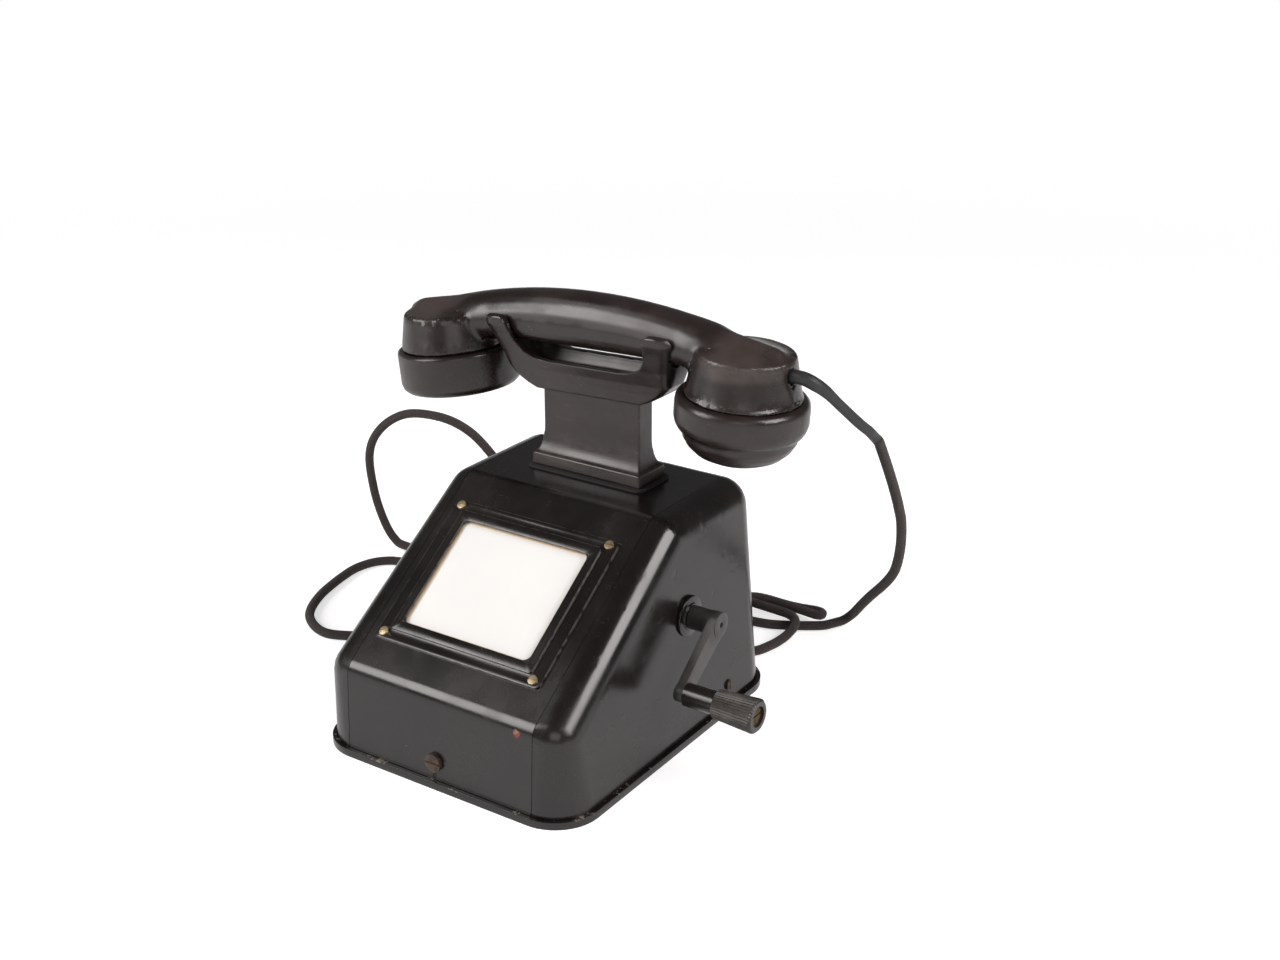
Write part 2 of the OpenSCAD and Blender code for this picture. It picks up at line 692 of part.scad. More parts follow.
// A cap that screws over the neck of a cup, as half outlines
module receiver_cap() {
    r = ear_r;
    color(bakelite) hs_place() cup_place(-1) translate([0, 0, -cup_h_ear - 0.1])
        rotate_extrude($fn = 2 * fine) polygon([
            [ear_low_r - 2.2, 0], [r - 1.6, 0], [r - 0.4, -0.7], [r, -2], [r, -ear_h + 4.5],
            [r - 0.8, -ear_h + 2], [r - 2.4, -ear_h + 0.5], [r - 4.6, -ear_h], [13, -ear_h],
            [9, -ear_h + 4.5], [7, -ear_h + 5], [7, -ear_h + 7.2], [ear_low_r - 6, -ear_h + 7.2],
            [ear_low_r - 6, -8.4], [ear_low_r - 2.2, -8.4]]);
}

module receiver_capsule() {
    color(steel) hs_place() cup_place(-1) translate([0, 0, -cup_h_ear - 9.6]) {
        translate([0, 0, 1]) cylinder(h = 13, r = ear_low_r - 7, $fn = 2 * fine);
        cylinder(h = 2, r = ear_low_r - 6.4, $fn = 2 * fine);
    }
}

module transmitter_cap() {
    r = mouth_r;
    color(bakelite) hs_place() cup_place(1) translate([0, 0, -cup_h_mouth - 0.1])
        difference() {
            rotate_extrude($fn = 2 * fine) polygon([
                [cup_low_r - 2.2, 0], [cup_low_r + 0.2, 0], [r - 1.6, -0.7], [r - 0.4, -2.2], [r, -5],
                [r, -mouth_h + 5], [r - 0.8, -mouth_h + 2], [r - 2, -mouth_h], [r - 3.4, -mouth_h - 0.3],
                [r - 4.2, -mouth_h - 1.4], [r - 4.8, -mouth_h - mouth_dome * 0.3],
                [r - 7, -mouth_h - mouth_dome * 0.54], [r - 10.6, -mouth_h - mouth_dome * 0.76],
                [r - 15.5, -mouth_h - mouth_dome * 0.91], [r - 21.5, -mouth_h - mouth_dome],
                [0, -mouth_h - mouth_dome], [0, -mouth_h - mouth_dome + 2.4],
                [r - 22, -mouth_h - mouth_dome + 2.4], [r - 16.4, -mouth_h - mouth_dome * 0.91 + 2.4],
                [r - 12, -mouth_h - mouth_dome * 0.76 + 2.4], [r - 9.2, -mouth_h - mouth_dome * 0.54 + 2.2],
                [r - 8.6, -mouth_h - 1], [cup_low_r - 6, -mouth_h + 4], [cup_low_r - 6, -8.4],
                [cup_low_r - 2.2, -8.4]]);
            // sound holes
            for (k = [0:5]) rotate(60 * k) translate([8, 0, -mouth_h - mouth_dome - 2])
                cylinder(h = 8, r = 1.8, $fn = fine);
            translate([0, 0, -mouth_h - mouth_dome - 2]) cylinder(h = 8, r = 1.8, $fn = fine);
        }
}

module transmitter_capsule() {
    color(steel) hs_place() cup_place(1) translate([0, 0, -cup_h_mouth - 8.4]) {
        translate([0, 0, 0]) cylinder(h = 14, r = cup_low_r - cup_flare - 7, $fn = 2 * fine);
        translate([0, 0, -3]) cylinder(h = 4, r = cup_low_r - cup_flare - 6.4, $fn = 2 * fine);
    }
}

cord_exit_z = -13.6;
sleeve_root_r = 3.4;
sleeve_tip_r = 2.6;
// Route of the sleeve, from inside the cup's wall outwards
sleeve_end = [137.8, 85, 153.4];
sleeve_route = [[107.3, 43, 192.4], [113.3, 43, 192.6], [118.2, 43.5, 192.4], [122.5, 45.2, 190.4],
    [126.5, 51, 185.2], [130.5, 61, 175.2], [134.3, 72, 164.8], [136.6, 79.5, 158.6], sleeve_end];
sleeve_aim = unit(sleeve_end - sleeve_route[len(sleeve_route) - 2]);
module cord_sleeve() {
    p = route(sleeve_route, 3);
    m = len(p) - 1;
    color(black) tube(p, [for (i = [0:m])
        sleeve_root_r + (sleeve_tip_r - sleeve_root_r) * step_at(i / m, 0.15, 0.5)], 12);
}

/* Crank */

bush_r = 7;
bush_flange_r = 10.5;
shell_x = side_at(crank_z) + 0.1;
hub_r = 6.1;
plate_x = 50;
plate_t = 2.5;
gear_x = plate_x + plate_t + 4;
arm_in = arm_x - arm_t;
grip_y = crank_y - crank_throw * cos(crank_rest);
grip_z = crank_z - crank_throw * sin(crank_rest);
pin_r = 3;

module crank_bush() {
    color(steel) difference() {
        union() {
            rod_x(gear_x + gear_face + 1.5, shell_x + 2.4, crank_y, crank_z, bush_r);
            // flange, cut to the lean of the case's side
            difference() {
                rod_x(shell_x - 2, shell_x + 1.5, crank_y, crank_z, bush_flange_r);
                translate([shell_x, crank_y, crank_z]) rotate([0, -side_a, 0])
                    translate([-20, -20, -20]) cube([20, 40, 40]);
            }
        }
        rod_x(0, wall_x + 30, crank_y, crank_z, shaft_r + run_clear);
    }
}

module crank_shaft() {
    color(steel) rod_x(plate_x - 2, arm_in + 0.02, crank_y, crank_z, shaft_r);
}

// Tapered bar between two round ends, seen along the shaft
module arm_shape(l, r1, r2) {
    a = acos((r1 - r2) / l);
    polygon([for (q = [[0, r1, 1], [l, r2, 1], [l, r2, -1], [0, r1, -1]])
        [-q[0] - q[1] * cos(a), q[2] * q[1] * sin(a)]]);
}

module crank_arm() {
    color(black) difference() {
        union() {
            // boss round the shaft
            rod_x(shell_x + 2.7, arm_in + 1, crank_y, crank_z, hub_r);
            rod_x(arm_in, arm_x, crank_y, crank_z, arm_r);
            rod_x(arm_in, arm_x, grip_y, grip_z, arm_tip_r);
            // bar, a little thinner than the two ends
            translate([arm_in + 0.3, crank_y, crank_z]) rotate([90, 0, 90]) rotate(crank_rest)
                linear_extrude(arm_t - 0.6) arm_shape(crank_throw, arm_r - 0.2, arm_tip_r - 0.2);
        }
        rod_x(0, arm_in, crank_y, crank_z, shaft_r);
        rod_x(arm_x - 1.5, arm_x + 1, crank_y, crank_z, 1.4);
        rod_x(arm_in - 1, arm_x + 1, grip_y, grip_z, pin_r);
    }
}

grip_x0 = arm_x + 0.3;
knurl_x0 = grip_x0 + sleeve_len;
knurl_x1 = knurl_x0 + knurl_len;
recess = 3.5;
module crank_pin() {
    color(steel) rod_x(arm_in, knurl_x1 - recess - 0.4, grip_y, grip_z, pin_r);
}

module crank_grip() {
    // half outline of the fluted cone: position, radius, depth of the flutes
    cone = [[knurl_x0, knurl_r - 1.4, 0.45], [knurl_x1 - 1.2, knurl_r, 0.45],
        [knurl_x1, knurl_r - 1.2, 0.1]];
    color(bakelite) difference() {
        union() {
            rod_x(grip_x0, knurl_x0 + 1, grip_y, grip_z, sleeve_r);
            loft([for (q = cone) [for (k = [0:2 * flutes - 1])
                let (a = 180 * k / flutes, r = q[1] - (k % 2) * q[2])
                    [q[0], grip_y + r * cos(a), grip_z + r * sin(a)]]]);
        }
        rod_x(grip_x0 - 1, knurl_x1 + 1, grip_y, grip_z, pin_r + run_clear);
        rod_x(knurl_x1 - recess, knurl_x1 + 1, grip_y, grip_z, 5.2);
    }
}

module grip_screw() {
    color(brass) translate([knurl_x1 - recess + 0.2, grip_y, grip_z]) rotate([0, 90, 0])
        difference() {
            cylinder(h = 1.8, r = 4.8, $fn = fine);
            translate([-0.6, -6, 1]) cube([1.2, 12, 2]);
        }
}

/* Magneto */

gear_r = gear_module * gear_teeth / 2;
pinion_r = gear_module * pinion_teeth / 2;
mesh_d = gear_r + pinion_r + 0.1;
mesh_a = 41;
arm_y = crank_y + mesh_d * cos(mesh_a);
arm_z = crank_z - mesh_d * sin(mesh_a);
stack_x0 = -16;
stack_x1 = 42;

// Involute flank: radius and angle of a point where the involute has turned by t degrees
function inv_point(rb, t) = [
    rb * (cos(t) + t * PI / 180 * sin(t)), rb * (sin(t) - t * PI / 180 * cos(t))];
function inv_turn(rb, r) = r <= rb ? 0 : sqrt(pow(r / rb, 2) - 1) * 180 / PI;
function polar(p) = [norm(p), atan2(p[1], p[0])];
// Outline of a gear with n involute teeth, add and ded as tooth height above and below the pitch line
function gear_outline(n, m, add, ded, slack) =
    let (rp = m * n / 2, rb = rp * cos(20), ra = rp + add, rr = rp - ded,
        base_a = polar(inv_point(rb, inv_turn(rb, rp)))[1],
        half = 90 / n - slack / rp * 90 / PI + base_a,
        steps = 4,
        flank = [for (i = [0:steps]) let (
            r = max(rb, rr) + (ra - max(rb, rr)) * i / steps,
            q = polar(inv_point(rb, inv_turn(rb, r)))) [r, half - q[1]]],
        side = rr < rb ? concat([[rr, half]], flank) : flank)
    [for (k = [0:n - 1]) for (i = [0:2 * len(side) - 1])
        let (j = i < len(side) ? i : 2 * len(side) - 1 - i,
            a = (i < len(side) ? -1 : 1) * side[j][1] + 360 * k / n)
        side[j][0] * [cos(a), sin(a)]];

module gear_x_at(x0, y, z, n, turn) {
    translate([x0, y, z]) rotate([90, 0, 90]) rotate(turn)
        linear_extrude(gear_face)
            polygon(gear_outline(n, gear_module, 0.7 * gear_module, 0.95 * gear_module, 0.12));
}

module crank_gear() {
    color(brass) difference() {
        union() {
            gear_x_at(gear_x, crank_y, crank_z, gear_teeth, -mesh_a);
            rod_x(gear_x - 2.5, gear_x + gear_face + 1, crank_y, crank_z, shaft_r + 3);
        }
        rod_x(gear_x - 5, gear_x + 10, crank_y, crank_z, shaft_r);
        for (k = [0:4]) translate([gear_x - 1, crank_y, crank_z]) rotate([90, 0, 90])
            rotate(72 * k) translate([gear_r * 0.58, 0, 0])
                cylinder(h = 10, r = gear_r * 0.22, $fn = fine);
    }
}

armature_shaft_r = 3;
module armature_pinion() {
    color(steel) difference() {
        gear_x_at(gear_x, arm_y, arm_z, pinion_teeth, 180 - mesh_a + 180 / pinion_teeth);
        rod_x(gear_x - 5, gear_x + 10, arm_y, arm_z, armature_shaft_r);
    }
}

module magneto_armature() {
    color(steel) {
        difference() {
            rod_x(stack_x0 + 2, stack_x1 - 2, arm_y, arm_z, armature_r);
            for (s = [-1, 1]) translate([stack_x0 + 5, arm_y - 5, arm_z + s * (armature_r - 1.5) - 6])
                cube([stack_x1 - stack_x0 - 10, 10, 12]);
        }
        rod_x(stack_x0 - 8, gear_x + gear_face, arm_y, arm_z, armature_shaft_r);
    }
}

pole_w = 40;
pole_h = 32;
module magneto_frame() {
    bore = armature_r + air_gap;
    color(steel) difference() {
        union() {
            // pole pieces
            difference() {
                translate([stack_x0, arm_y - pole_w / 2, arm_z - pole_h / 2])
                    cube([stack_x1 - stack_x0, pole_w, pole_h]);
                rod_x(stack_x0 - 1, stack_x1 + 1, arm_y, arm_z, bore);
                translate([stack_x0 - 1, arm_y - 6, arm_z - pole_h])
                    cube([stack_x1 - stack_x0 + 2, 12, 2 * pole_h]);
            }
            // end plates, with feet on the base
            for (x = [stack_x0 - plate_t, plate_x]) difference() {
                translate([x, arm_y - pole_w / 2, base_t + 0.02])
                    cube([plate_t, pole_w, arm_z + pole_h / 2 - base_t]);
            }
            translate([stack_x1 - 0.01, arm_y - pole_w / 2, arm_z - pole_h / 2])
                cube([plate_x - stack_x1 + 0.02, 8, 8]);
            translate([stack_x1 - 0.01, arm_y + pole_w / 2 - 8, arm_z - pole_h / 2])
                cube([plate_x - stack_x1 + 0.02, 8, 8]);
            // arm that carries the crank shaft's inner end
            translate([plate_x, crank_y - 9, arm_z - 10])
                cube([plate_t, arm_y - crank_y - 2, crank_z - arm_z + 19]);
        }
        rod_x(stack_x0 - 10, plate_x + 10, arm_y, arm_z, armature_shaft_r + run_clear);
        rod_x(plate_x - 1, plate_x + 10, crank_y, crank_z, shaft_r + run_clear);
    }
}

magnet_t = 8;
magnet_top = plunger_low - 18;
module magneto_magnets() {
    color([0.2, 0.2, 0.22]) for (i = [0:2]) translate([stack_x0 + 2 + 18.6 * i, arm_y, 0]) {
        r = pole_w / 2 + magnet_t;
        translate([0, 0, magnet_top - r]) rotate([90, 0, 90]) linear_extrude(16) difference() {
            union() {
                circle(r, $fn = 2 * fine);
                translate([-r, arm_z - pole_h / 2 - magnet_top + r])
                    square([2 * r, magnet_top - r - arm_z + pole_h / 2]);
            }
            circle(r - magnet_t, $fn = 2 * fine);
            translate([-r + magnet_t, arm_z - pole_h - magnet_top + r])
                square([2 * (r - magnet_t), magnet_top - r - arm_z + pole_h]);
        }
    }
}

/* Ringer, coil, capacitor and terminals */

gong_z = 16;
clapper_y = gong_y + 17.5;
module ringer_yoke() {
    color(steel) difference() {
        union() {
            translate([-38, gong_y - 6, base_t + 0.02]) cube([76, 12, 2]);
            translate([-24, gong_y + 5, base_t + 0.02]) cube([48, 34, 2]);
            translate([-24, gong_y + 37, base_t + 0.02]) cube([48, 2, 20]);
            // gong posts
            for (x = [-1, 1]) translate([x * gong_dx, gong_y, base_t + 0.02])
                cylinder(h = gong_z + gong_h + 2, r = 2.5, $fn = fine);
            translate([-5, clapper_y - 4, base_t + 0.02]) cube([10, 8, 6.5]);
        }
        // seat of the clapper's pivot
        translate([0, clapper_y, base_t - 1]) cylinder(h = 30, r = 1.5 + run_clear, $fn = fine);
    }
}

module ringer_coils() {
    color(copper) for (x = [-1, 1]) translate([x * 14, gong_y + 36.8, base_t + 13]) rotate([90, 0, 0]) {
        cylinder(h = 1, r = 8.5, $fn = fine);
        cylinder(h = 14, r = 7.5, $fn = fine);
        translate([0, 0, 14]) cylinder(h = 1, r = 8.5, $fn = fine);
    }
}

// A gong: a shallow bowl, mouth down, on its post
module gongs() {
    color(brass) for (x = [-1, 1]) translate([x * gong_dx, gong_y, base_t + gong_z])
        rotate_extrude($fn = 2 * fine) polygon([
            [2.5, gong_h], [2.5, gong_h - 1.2], [gong_r * 0.55, gong_h - 1.6],
            [gong_r * 0.8, gong_h - 3.6], [gong_r * 0.93, gong_h - 6.4], [gong_r - 1.2, 0],
            [gong_r, 0], [gong_r * 0.98, gong_h - 6], [gong_r * 0.86, gong_h - 2.6],
            [gong_r * 0.6, gong_h - 0.4], [gong_r * 0.5, gong_h]]);
}

clapper_z = base_t + gong_z + 4;
module clapper() {
    color(brass) {
        translate([0, clapper_y, base_t + 1]) cylinder(h = clapper_z - base_t + 0.5, r = 1.5, $fn = fine);
        translate([-16, clapper_y - 1.2, base_t + 8]) cube([32, 2.4, 7]);
        translate([-0.8, gong_y - 2, clapper_z - 0.8]) cube([1.6, clapper_y - gong_y + 2, 1.6]);
        translate([0, gong_y - 3, clapper_z]) sphere(3.2, $fn = soft);
    }
}

module induction_coil() {
    color(copper) translate([-48, -28, base_t + 13]) rotate([-90, 0, 0]) {
        cylinder(h = 56, r = 9, $fn = fine);
        for (y = [-2, 56]) translate([-11, -13 + 1.55, y]) cube([22, 24.4, 2.5]);
    }
}

module capacitor() {
    color(steel) translate([-47, 54, base_t + 0.02]) round_plate(26, 40, 2, 48);
}

block_w = 64;
block_d = 10;
block_h = 12;
// the block lies along the back wall
block_y = wall_y - 8 - block_d / 2;
module terminal_block() {
    color(bakelite) translate([8, block_y, base_t + 0.02]) difference() {
        translate([-block_w / 2, -block_d / 2, 0]) cube([block_w, block_d, block_h]);
        for (k = [0:5]) translate([(k - 2.5) * block_w / 6, 0, 5])
            cylinder(h = block_h, r = 1.6, $fn = fine);
    }
}

/* Cords */

gland_r = 5.5;
gland_x = [30, -36];
gland_z = 20;
cord_r = cord_d / 2;
low = cord_r + 0.1;
high = low + cord_d + 1.1;
module cord_glands() {
    color(black) for (x = gland_x) on_back_at(x, gland_z) difference() {
        union() {
            translate([0, 0, -6]) cylinder(h = 12, r = gland_r, $fn = fine);
            translate([0, 0, 0.05]) cylinder(h = 2.5, r = gland_r + 2.5, $fn = fine);
        }
        translate([0, 0, -3]) cylinder(h = 20, r = cord_r + 0.1, $fn = fine);
    }
}

// A place on the axis of a gland, h out from the wall
function gland_at(x, h) = [x, back_at_z(gland_z) + h * cos(back_a), gland_z + h * sin(back_a)];

// Points of the handset cord from the sleeve's end down to the table, a small gap under the sleeve
drop_route = [
    sleeve_end + 0.3 * sleeve_aim, sleeve_end + 3 * sleeve_aim, [138.9, 90.3, 146.3], [139.6, 94.3, 138.7],
    [140.3, 101, 126], [141.6, 107, 113.5], [142.2, 112, 102.6], [140.9, 116.5, 92.9], [138.7, 121, 82.7],
    [135.6, 126, 72], [130.8, 132.5, 60.7], [123.1, 140, 49.8], [112.5, 149, 38.5], [102.4, 158.5, 27.2],
    [93.5, 168, 15.4], [87.5, 173.5, 7.8], [82.5, 170.5, low], [78.7, 162.1, low]];
// The same cord on the table, hitched in loops and back into the case
loops_route = [
    [78.7, 162.1, low], [76, 158.5, low], [68, 152.8, low], [58, 147, low], [48, 142.5, low],
    [34, 140.5, low], [22, 144, low], [15, 154, low], [16, 166, low], [25, 172, low], [36, 172.5, low],
    [47, 169, low + 0.5], [58, 167.5, 5], [68, 166, 8], [74.5, 162, high], [74.5, 157.5, high],
    [68, 157, high], [58, 159, high], [46, 160.5, high], [34, 160, high], [27, 155.5, high],
    [32, 151, high], [44, 150.5, high], [56, 151, high], [64, 147.5, high], [67.5, 141, 7.5],
    [66.5, 133, 4], [64.5, 122.5, low], [60, 110, low], [51, 105, low], [41, 106, 5.5], [33, 109, 12],
    [30, 108, 19], gland_at(30, 9), gland_at(30, -2)];
// The line cord from the case, through the air and down to the table
arch_route = [
    gland_at(-36, -2), gland_at(-36, 9), [-42, 108, 21.5], [-58, 111, 25], [-80, 113, 34], [-100, 113, 50],
    [-114, 112, 68], [-126, 110, 83], [-142, 110, 94], [-164, 110, 98.5], [-192, 110, 95],
    [-214, 110, 81], [-225, 110, 62], [-223, 110, 36], [-215, 110, 15], [-206, 110, 4.6],
    [-199, 110.5, low], [-195, 111, low]];
// The line cord on the table, round to the coil behind the case
loop_route = [
    [-195, 111, low], [-190, 111.6, low], [-180, 111, low], [-172.5, 105, low], [-174, 96.5, low],
    [-182, 92.5, low], [-192, 90.5, low], [-200, 82.5, low], [-203.5, 70, low], [-202, 56, low],
    [-195, 28, low], [-181, 4, low], [-160, -7.5, low], [-143, -3, low], [-127, 10, low],
    [-112, 38, low], [-100, 75, low], [-89, 108, low], [-83, 130, low], [-83, 138, low]];

drop_points = route(drop_route, 3);
loops_points = route(loops_route, 2);
arch_points = route(arch_route, 2);
loop_points = route(loop_route, 3);
module handset_cord_drop() {
    color(black) tube(drop_points, cord_r, 8);
}
module handset_cord_loops() {
    color(black) tube(loops_points, cord_r, 8);
}
module line_cord_arch() {
    color(black) tube(arch_points, cord_r, 8);
}
module line_cord_loop() {
    color(black) tube(loop_points, cord_r, 8);
}

// The coil spirals in, climbs a layer and spirals out, then rises to the plug
coil_c = [-45, 143.5, low];
coil_pitch = cord_d + 0.7;
coil_x = coil_c[0] - coil_d / 2 - 1.5 * coil_pitch;
plug_r = 10;
plug_y = coil_c[1] + 22;
function coil_r(u) = coil_d / 2 + coil_pitch * (u < coil_turns ? coil_turns / 2 - u : u - 1.5 * coil_turns);
function coil_z(u) = coil_c[2] + coil_pitch * max(0, min(1, (u - coil_turns + 0.25) * 2));
coil_points = concat(
    [[coil_x, coil_c[1] - cord_d, low]],
    [for (i = [0:2 * coil_turns * 24]) let (u = i / 24, a = 180 - 360 * u)
        [coil_c[0] + coil_r(u) * cos(a), coil_c[1] + coil_r(u) * sin(a), coil_z(u)]],
    [[coil_x, coil_c[1] + 8, 9.4], [coil_x, coil_c[1] + 14, plug_r], [coil_x, plug_y, plug_r]]);
module line_coil() {
    color(black) tube(coil_points, cord_r, 6);
}

// Least distance between parts of a cord that are at least skip points apart
function self_gap(p, skip) = min([for (i = [0:len(p) - 1 - skip]) for (j = [i + skip:len(p) - 1])
    norm(p[i] - p[j])]) - cord_d;

module line_plug() {
    color(bakelite) translate([coil_x, plug_y, plug_r]) rotate([-90, 0, 0])
        rotate_extrude($fn = fine) polygon([[0, 0], [4.5, 0], [5.2, 1], [6, 5], [plug_r - 0.6, 8],
            [plug_r - 0.1, 9.5], [plug_r - 0.1, 23], [plug_r - 0.9, 24], [0, 24]]);
}

module plug_pins() {
    color(brass) for (x = [-4.5, 4.5]) translate([coil_x + x, plug_y + 24, plug_r]) rotate([-90, 0, 0]) {
        cylinder(h = 14, r = 2, $fn = fine);
        translate([0, 0, 13.99]) cylinder(h = 1.5, r1 = 2, r2 = 0.9, $fn = fine);
    }
}

echo(drop = run_length(drop_points), loops = run_length(loops_points), arch = run_length(arch_points),
    table_loop = run_length(loop_points), coil = run_length(coil_points));
echo(coil_gap = self_gap(coil_points, 8), loops_gap = self_gap(loops_points, 5));

base_plate();
case_centre_panel();
case_left_shell();
case_right_shell();
card_frame();
card_window();
name_card();
frame_screws();
front_screw();
side_screws();
pedestal_gasket();
pedestal();
cradle();
cradle_plunger();
cradle_spring();
switch_block();
switch_blades();
handset_handle();
receiver_cap();
receiver_capsule();
transmitter_cap();
transmitter_capsule();
cord_sleeve();
crank_bush();
crank_shaft();
crank_arm();
crank_pin();
crank_grip();
grip_screw();
crank_gear();
magneto_frame();
magneto_magnets();
magneto_armature();
armature_pinion();
ringer_yoke();
ringer_coils();
gongs();
clapper();
induction_coil();
capacitor();
terminal_block();
cord_glands();
handset_cord_drop();
handset_cord_loops();
line_cord_arch();
line_cord_loop();
line_coil();
line_plug();
plug_pins();
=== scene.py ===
from math import cos, hypot, pi, radians, sin

import bmesh
import bpy
from mathutils import Matrix, Vector


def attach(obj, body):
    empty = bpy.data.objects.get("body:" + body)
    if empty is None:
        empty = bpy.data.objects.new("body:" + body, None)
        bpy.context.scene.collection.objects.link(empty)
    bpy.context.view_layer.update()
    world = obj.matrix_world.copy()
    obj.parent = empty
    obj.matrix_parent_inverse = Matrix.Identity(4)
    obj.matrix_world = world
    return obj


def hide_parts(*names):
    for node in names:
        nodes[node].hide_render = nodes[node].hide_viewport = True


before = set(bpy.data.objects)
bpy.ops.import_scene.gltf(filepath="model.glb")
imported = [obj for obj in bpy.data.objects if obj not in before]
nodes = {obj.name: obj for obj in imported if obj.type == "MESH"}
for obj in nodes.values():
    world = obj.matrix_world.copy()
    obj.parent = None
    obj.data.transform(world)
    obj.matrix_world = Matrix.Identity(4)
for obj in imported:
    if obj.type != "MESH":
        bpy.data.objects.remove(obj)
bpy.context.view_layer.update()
scene = bpy.context.scene
scene.view_settings.view_transform = "Standard"
MM = 0.001

# Camera, solved from the photograph's scale and the corners of the base

camera_data = bpy.data.cameras.new("camera")
camera_data.sensor_width = 36
camera_data.lens = 47.68
camera_data.clip_start = 0.01
camera = bpy.data.objects.new("camera", camera_data)
scene.collection.objects.link(camera)
camera.location = (0.47474, -0.62984, 0.44330)
camera.rotation_euler = (radians(68.26), 0, radians(33.69))
scene.camera = camera

# Routes of the two cords, in millimetres as in the part's source

CORD_D = 5.4
# Height of a cord's axis on the table, and of one that crosses over another there
LOW = CORD_D / 2 + 0.1
HIGH = LOW + CORD_D + 1.1
SLEEVE_END = Vector((137.8, 85, 153.4))
SLEEVE_AIM = (SLEEVE_END - Vector((136.6, 79.5, 158.6))).normalized()
# The glands sit square to the back wall, which leans
GLAND_Y, GLAND_Z = 93.09, 20
GLAND_TILT = radians(5.39)


def gland(x, h):
    """A place on the axis of a gland in the back wall, h out from the wall."""
    return (x, GLAND_Y + h * cos(GLAND_TILT), GLAND_Z + h * sin(GLAND_TILT))


DROP = [
    SLEEVE_END + 0.3 * SLEEVE_AIM, SLEEVE_END + 3 * SLEEVE_AIM, (138.9, 90.3, 146.3), (139.6, 94.3, 138.7),
    (140.3, 101, 126), (141.6, 107, 113.5), (142.2, 112, 102.6), (140.9, 116.5, 92.9), (138.7, 121, 82.7),
    (135.6, 126, 72), (130.8, 132.5, 60.7), (123.1, 140, 49.8), (112.5, 149, 38.5), (102.4, 158.5, 27.2),
    (93.5, 168, 15.4), (87.5, 173.5, 7.8), (82.5, 170.5, LOW), (78.7, 162.1, LOW)]
LOOPS = [
    (76, 158.5, LOW), (68, 152.8, LOW), (58, 147, LOW), (48, 142.5, LOW),
    (34, 140.5, LOW), (22, 144, LOW), (15, 154, LOW), (16, 166, LOW), (25, 172, LOW), (36, 172.5, LOW),
    (47, 169, LOW + 0.5), (58, 167.5, 5), (68, 166, 8), (74.5, 162, HIGH), (74.5, 157.5, HIGH),
    (68, 157, HIGH), (58, 159, HIGH), (46, 160.5, HIGH), (34, 160, HIGH), (27, 155.5, HIGH),
    (32, 151, HIGH), (44, 150.5, HIGH), (56, 151, HIGH), (64, 147.5, HIGH), (67.5, 141, 7.5),
    (66.5, 133, 4), (64.5, 122.5, LOW), (60, 110, LOW), (51, 105, LOW), (41, 106, 5.5), (33, 109, 12),
    (30, 108, 19), gland(30, 9), gland(30, -2)]
ARCH = [
    gland(-36, -2), gland(-36, 9), (-42, 108, 21.5), (-58, 111, 25), (-80, 113, 34), (-100, 113, 50),
    (-114, 112, 68), (-126, 110, 83), (-142, 110, 94), (-164, 110, 98.5), (-192, 110, 95),
    (-214, 110, 81), (-225, 110, 62), (-223, 110, 36), (-215, 110, 15), (-206, 110, 4.6),
    (-199, 110.5, LOW), (-195, 111, LOW)]
LOOP = [
    (-190, 111.6, LOW), (-180, 111, LOW), (-172.5, 105, LOW), (-174, 96.5, LOW),
    (-182, 92.5, LOW), (-192, 90.5, LOW), (-200, 82.5, LOW), (-203.5, 70, LOW), (-202, 56, LOW),
    (-195, 28, LOW), (-181, 4, LOW), (-160, -7.5, LOW), (-143, -3, LOW), (-127, 10, LOW),
    (-112, 38, LOW), (-100, 75, LOW), (-89, 108, LOW), (-83, 130, LOW), (-83, 138, LOW)]
SLEEVE = [
    (107.3, 43, 192.4), (113.3, 43, 192.6), (118.2, 43.5, 192.4), (122.5, 45.2, 190.4),
    (126.5, 51, 185.2), (130.5, 61, 175.2), (134.3, 72, 164.8), (136.6, 79.5, 158.6), SLEEVE_END]
# The stored coil: turns in each of its two layers, points to a turn, centre, mean diameter, pitch
COIL_TURNS = 3
COIL_STEPS = 48
COIL_C = (-45, 143.5, LOW)
COIL_D = 58
COIL_PITCH = CORD_D + 0.7
COIL_X = COIL_C[0] - COIL_D / 2 - COIL_TURNS / 2 * COIL_PITCH
# The last points before the plug: how far past the coil's centre, and how high
PLUG_R = 10
PLUG_RISE = ((8, 9.4), (14, PLUG_R), (22, PLUG_R))
# Points nearer than this, in millimetres, are left out of a path
CLOSE = 0.6
# The sleeve's radius at its thick end, how much it narrows, and between which shares of its length
SLEEVE_R, SLEEVE_TAPER, TAPER_SPAN = 3.4, 0.8, (0.15, 0.5)


def step(x, low, high):
    """Smooth step from 0 at low to 1 at high."""
    u = max(0.0, min(1.0, (x - low) / (high - low)))
    return u * u * (3 - 2 * u)


def curve_point(p, i, t):
    """A point at t between points i and i + 1 of a smooth curve through p."""
    a, b, c, d = (Vector(p[max(0, min(len(p) - 1, j))]) for j in (i - 1, i, i + 1, i + 2))
    return 0.5 * (2 * b + (c - a) * t + (2 * a - 5 * b + 4 * c - d) * t * t
                  + (3 * b - a - 3 * c + d) * t * t * t)


def route(p, spacing=2.0):
    """The smooth curve through p, its first and last stretches straight, with points at even spacing."""
    mid = p[1:-1]
    points = [Vector(p[0])]
    for i in range(len(mid) - 1):
        count = max(2, round((Vector(mid[i + 1]) - Vector(mid[i])).length / spacing))
        points += [curve_point(mid, i, j / count) for j in range(count)]
    return points + [Vector(mid[-1]), Vector(p[-1])]


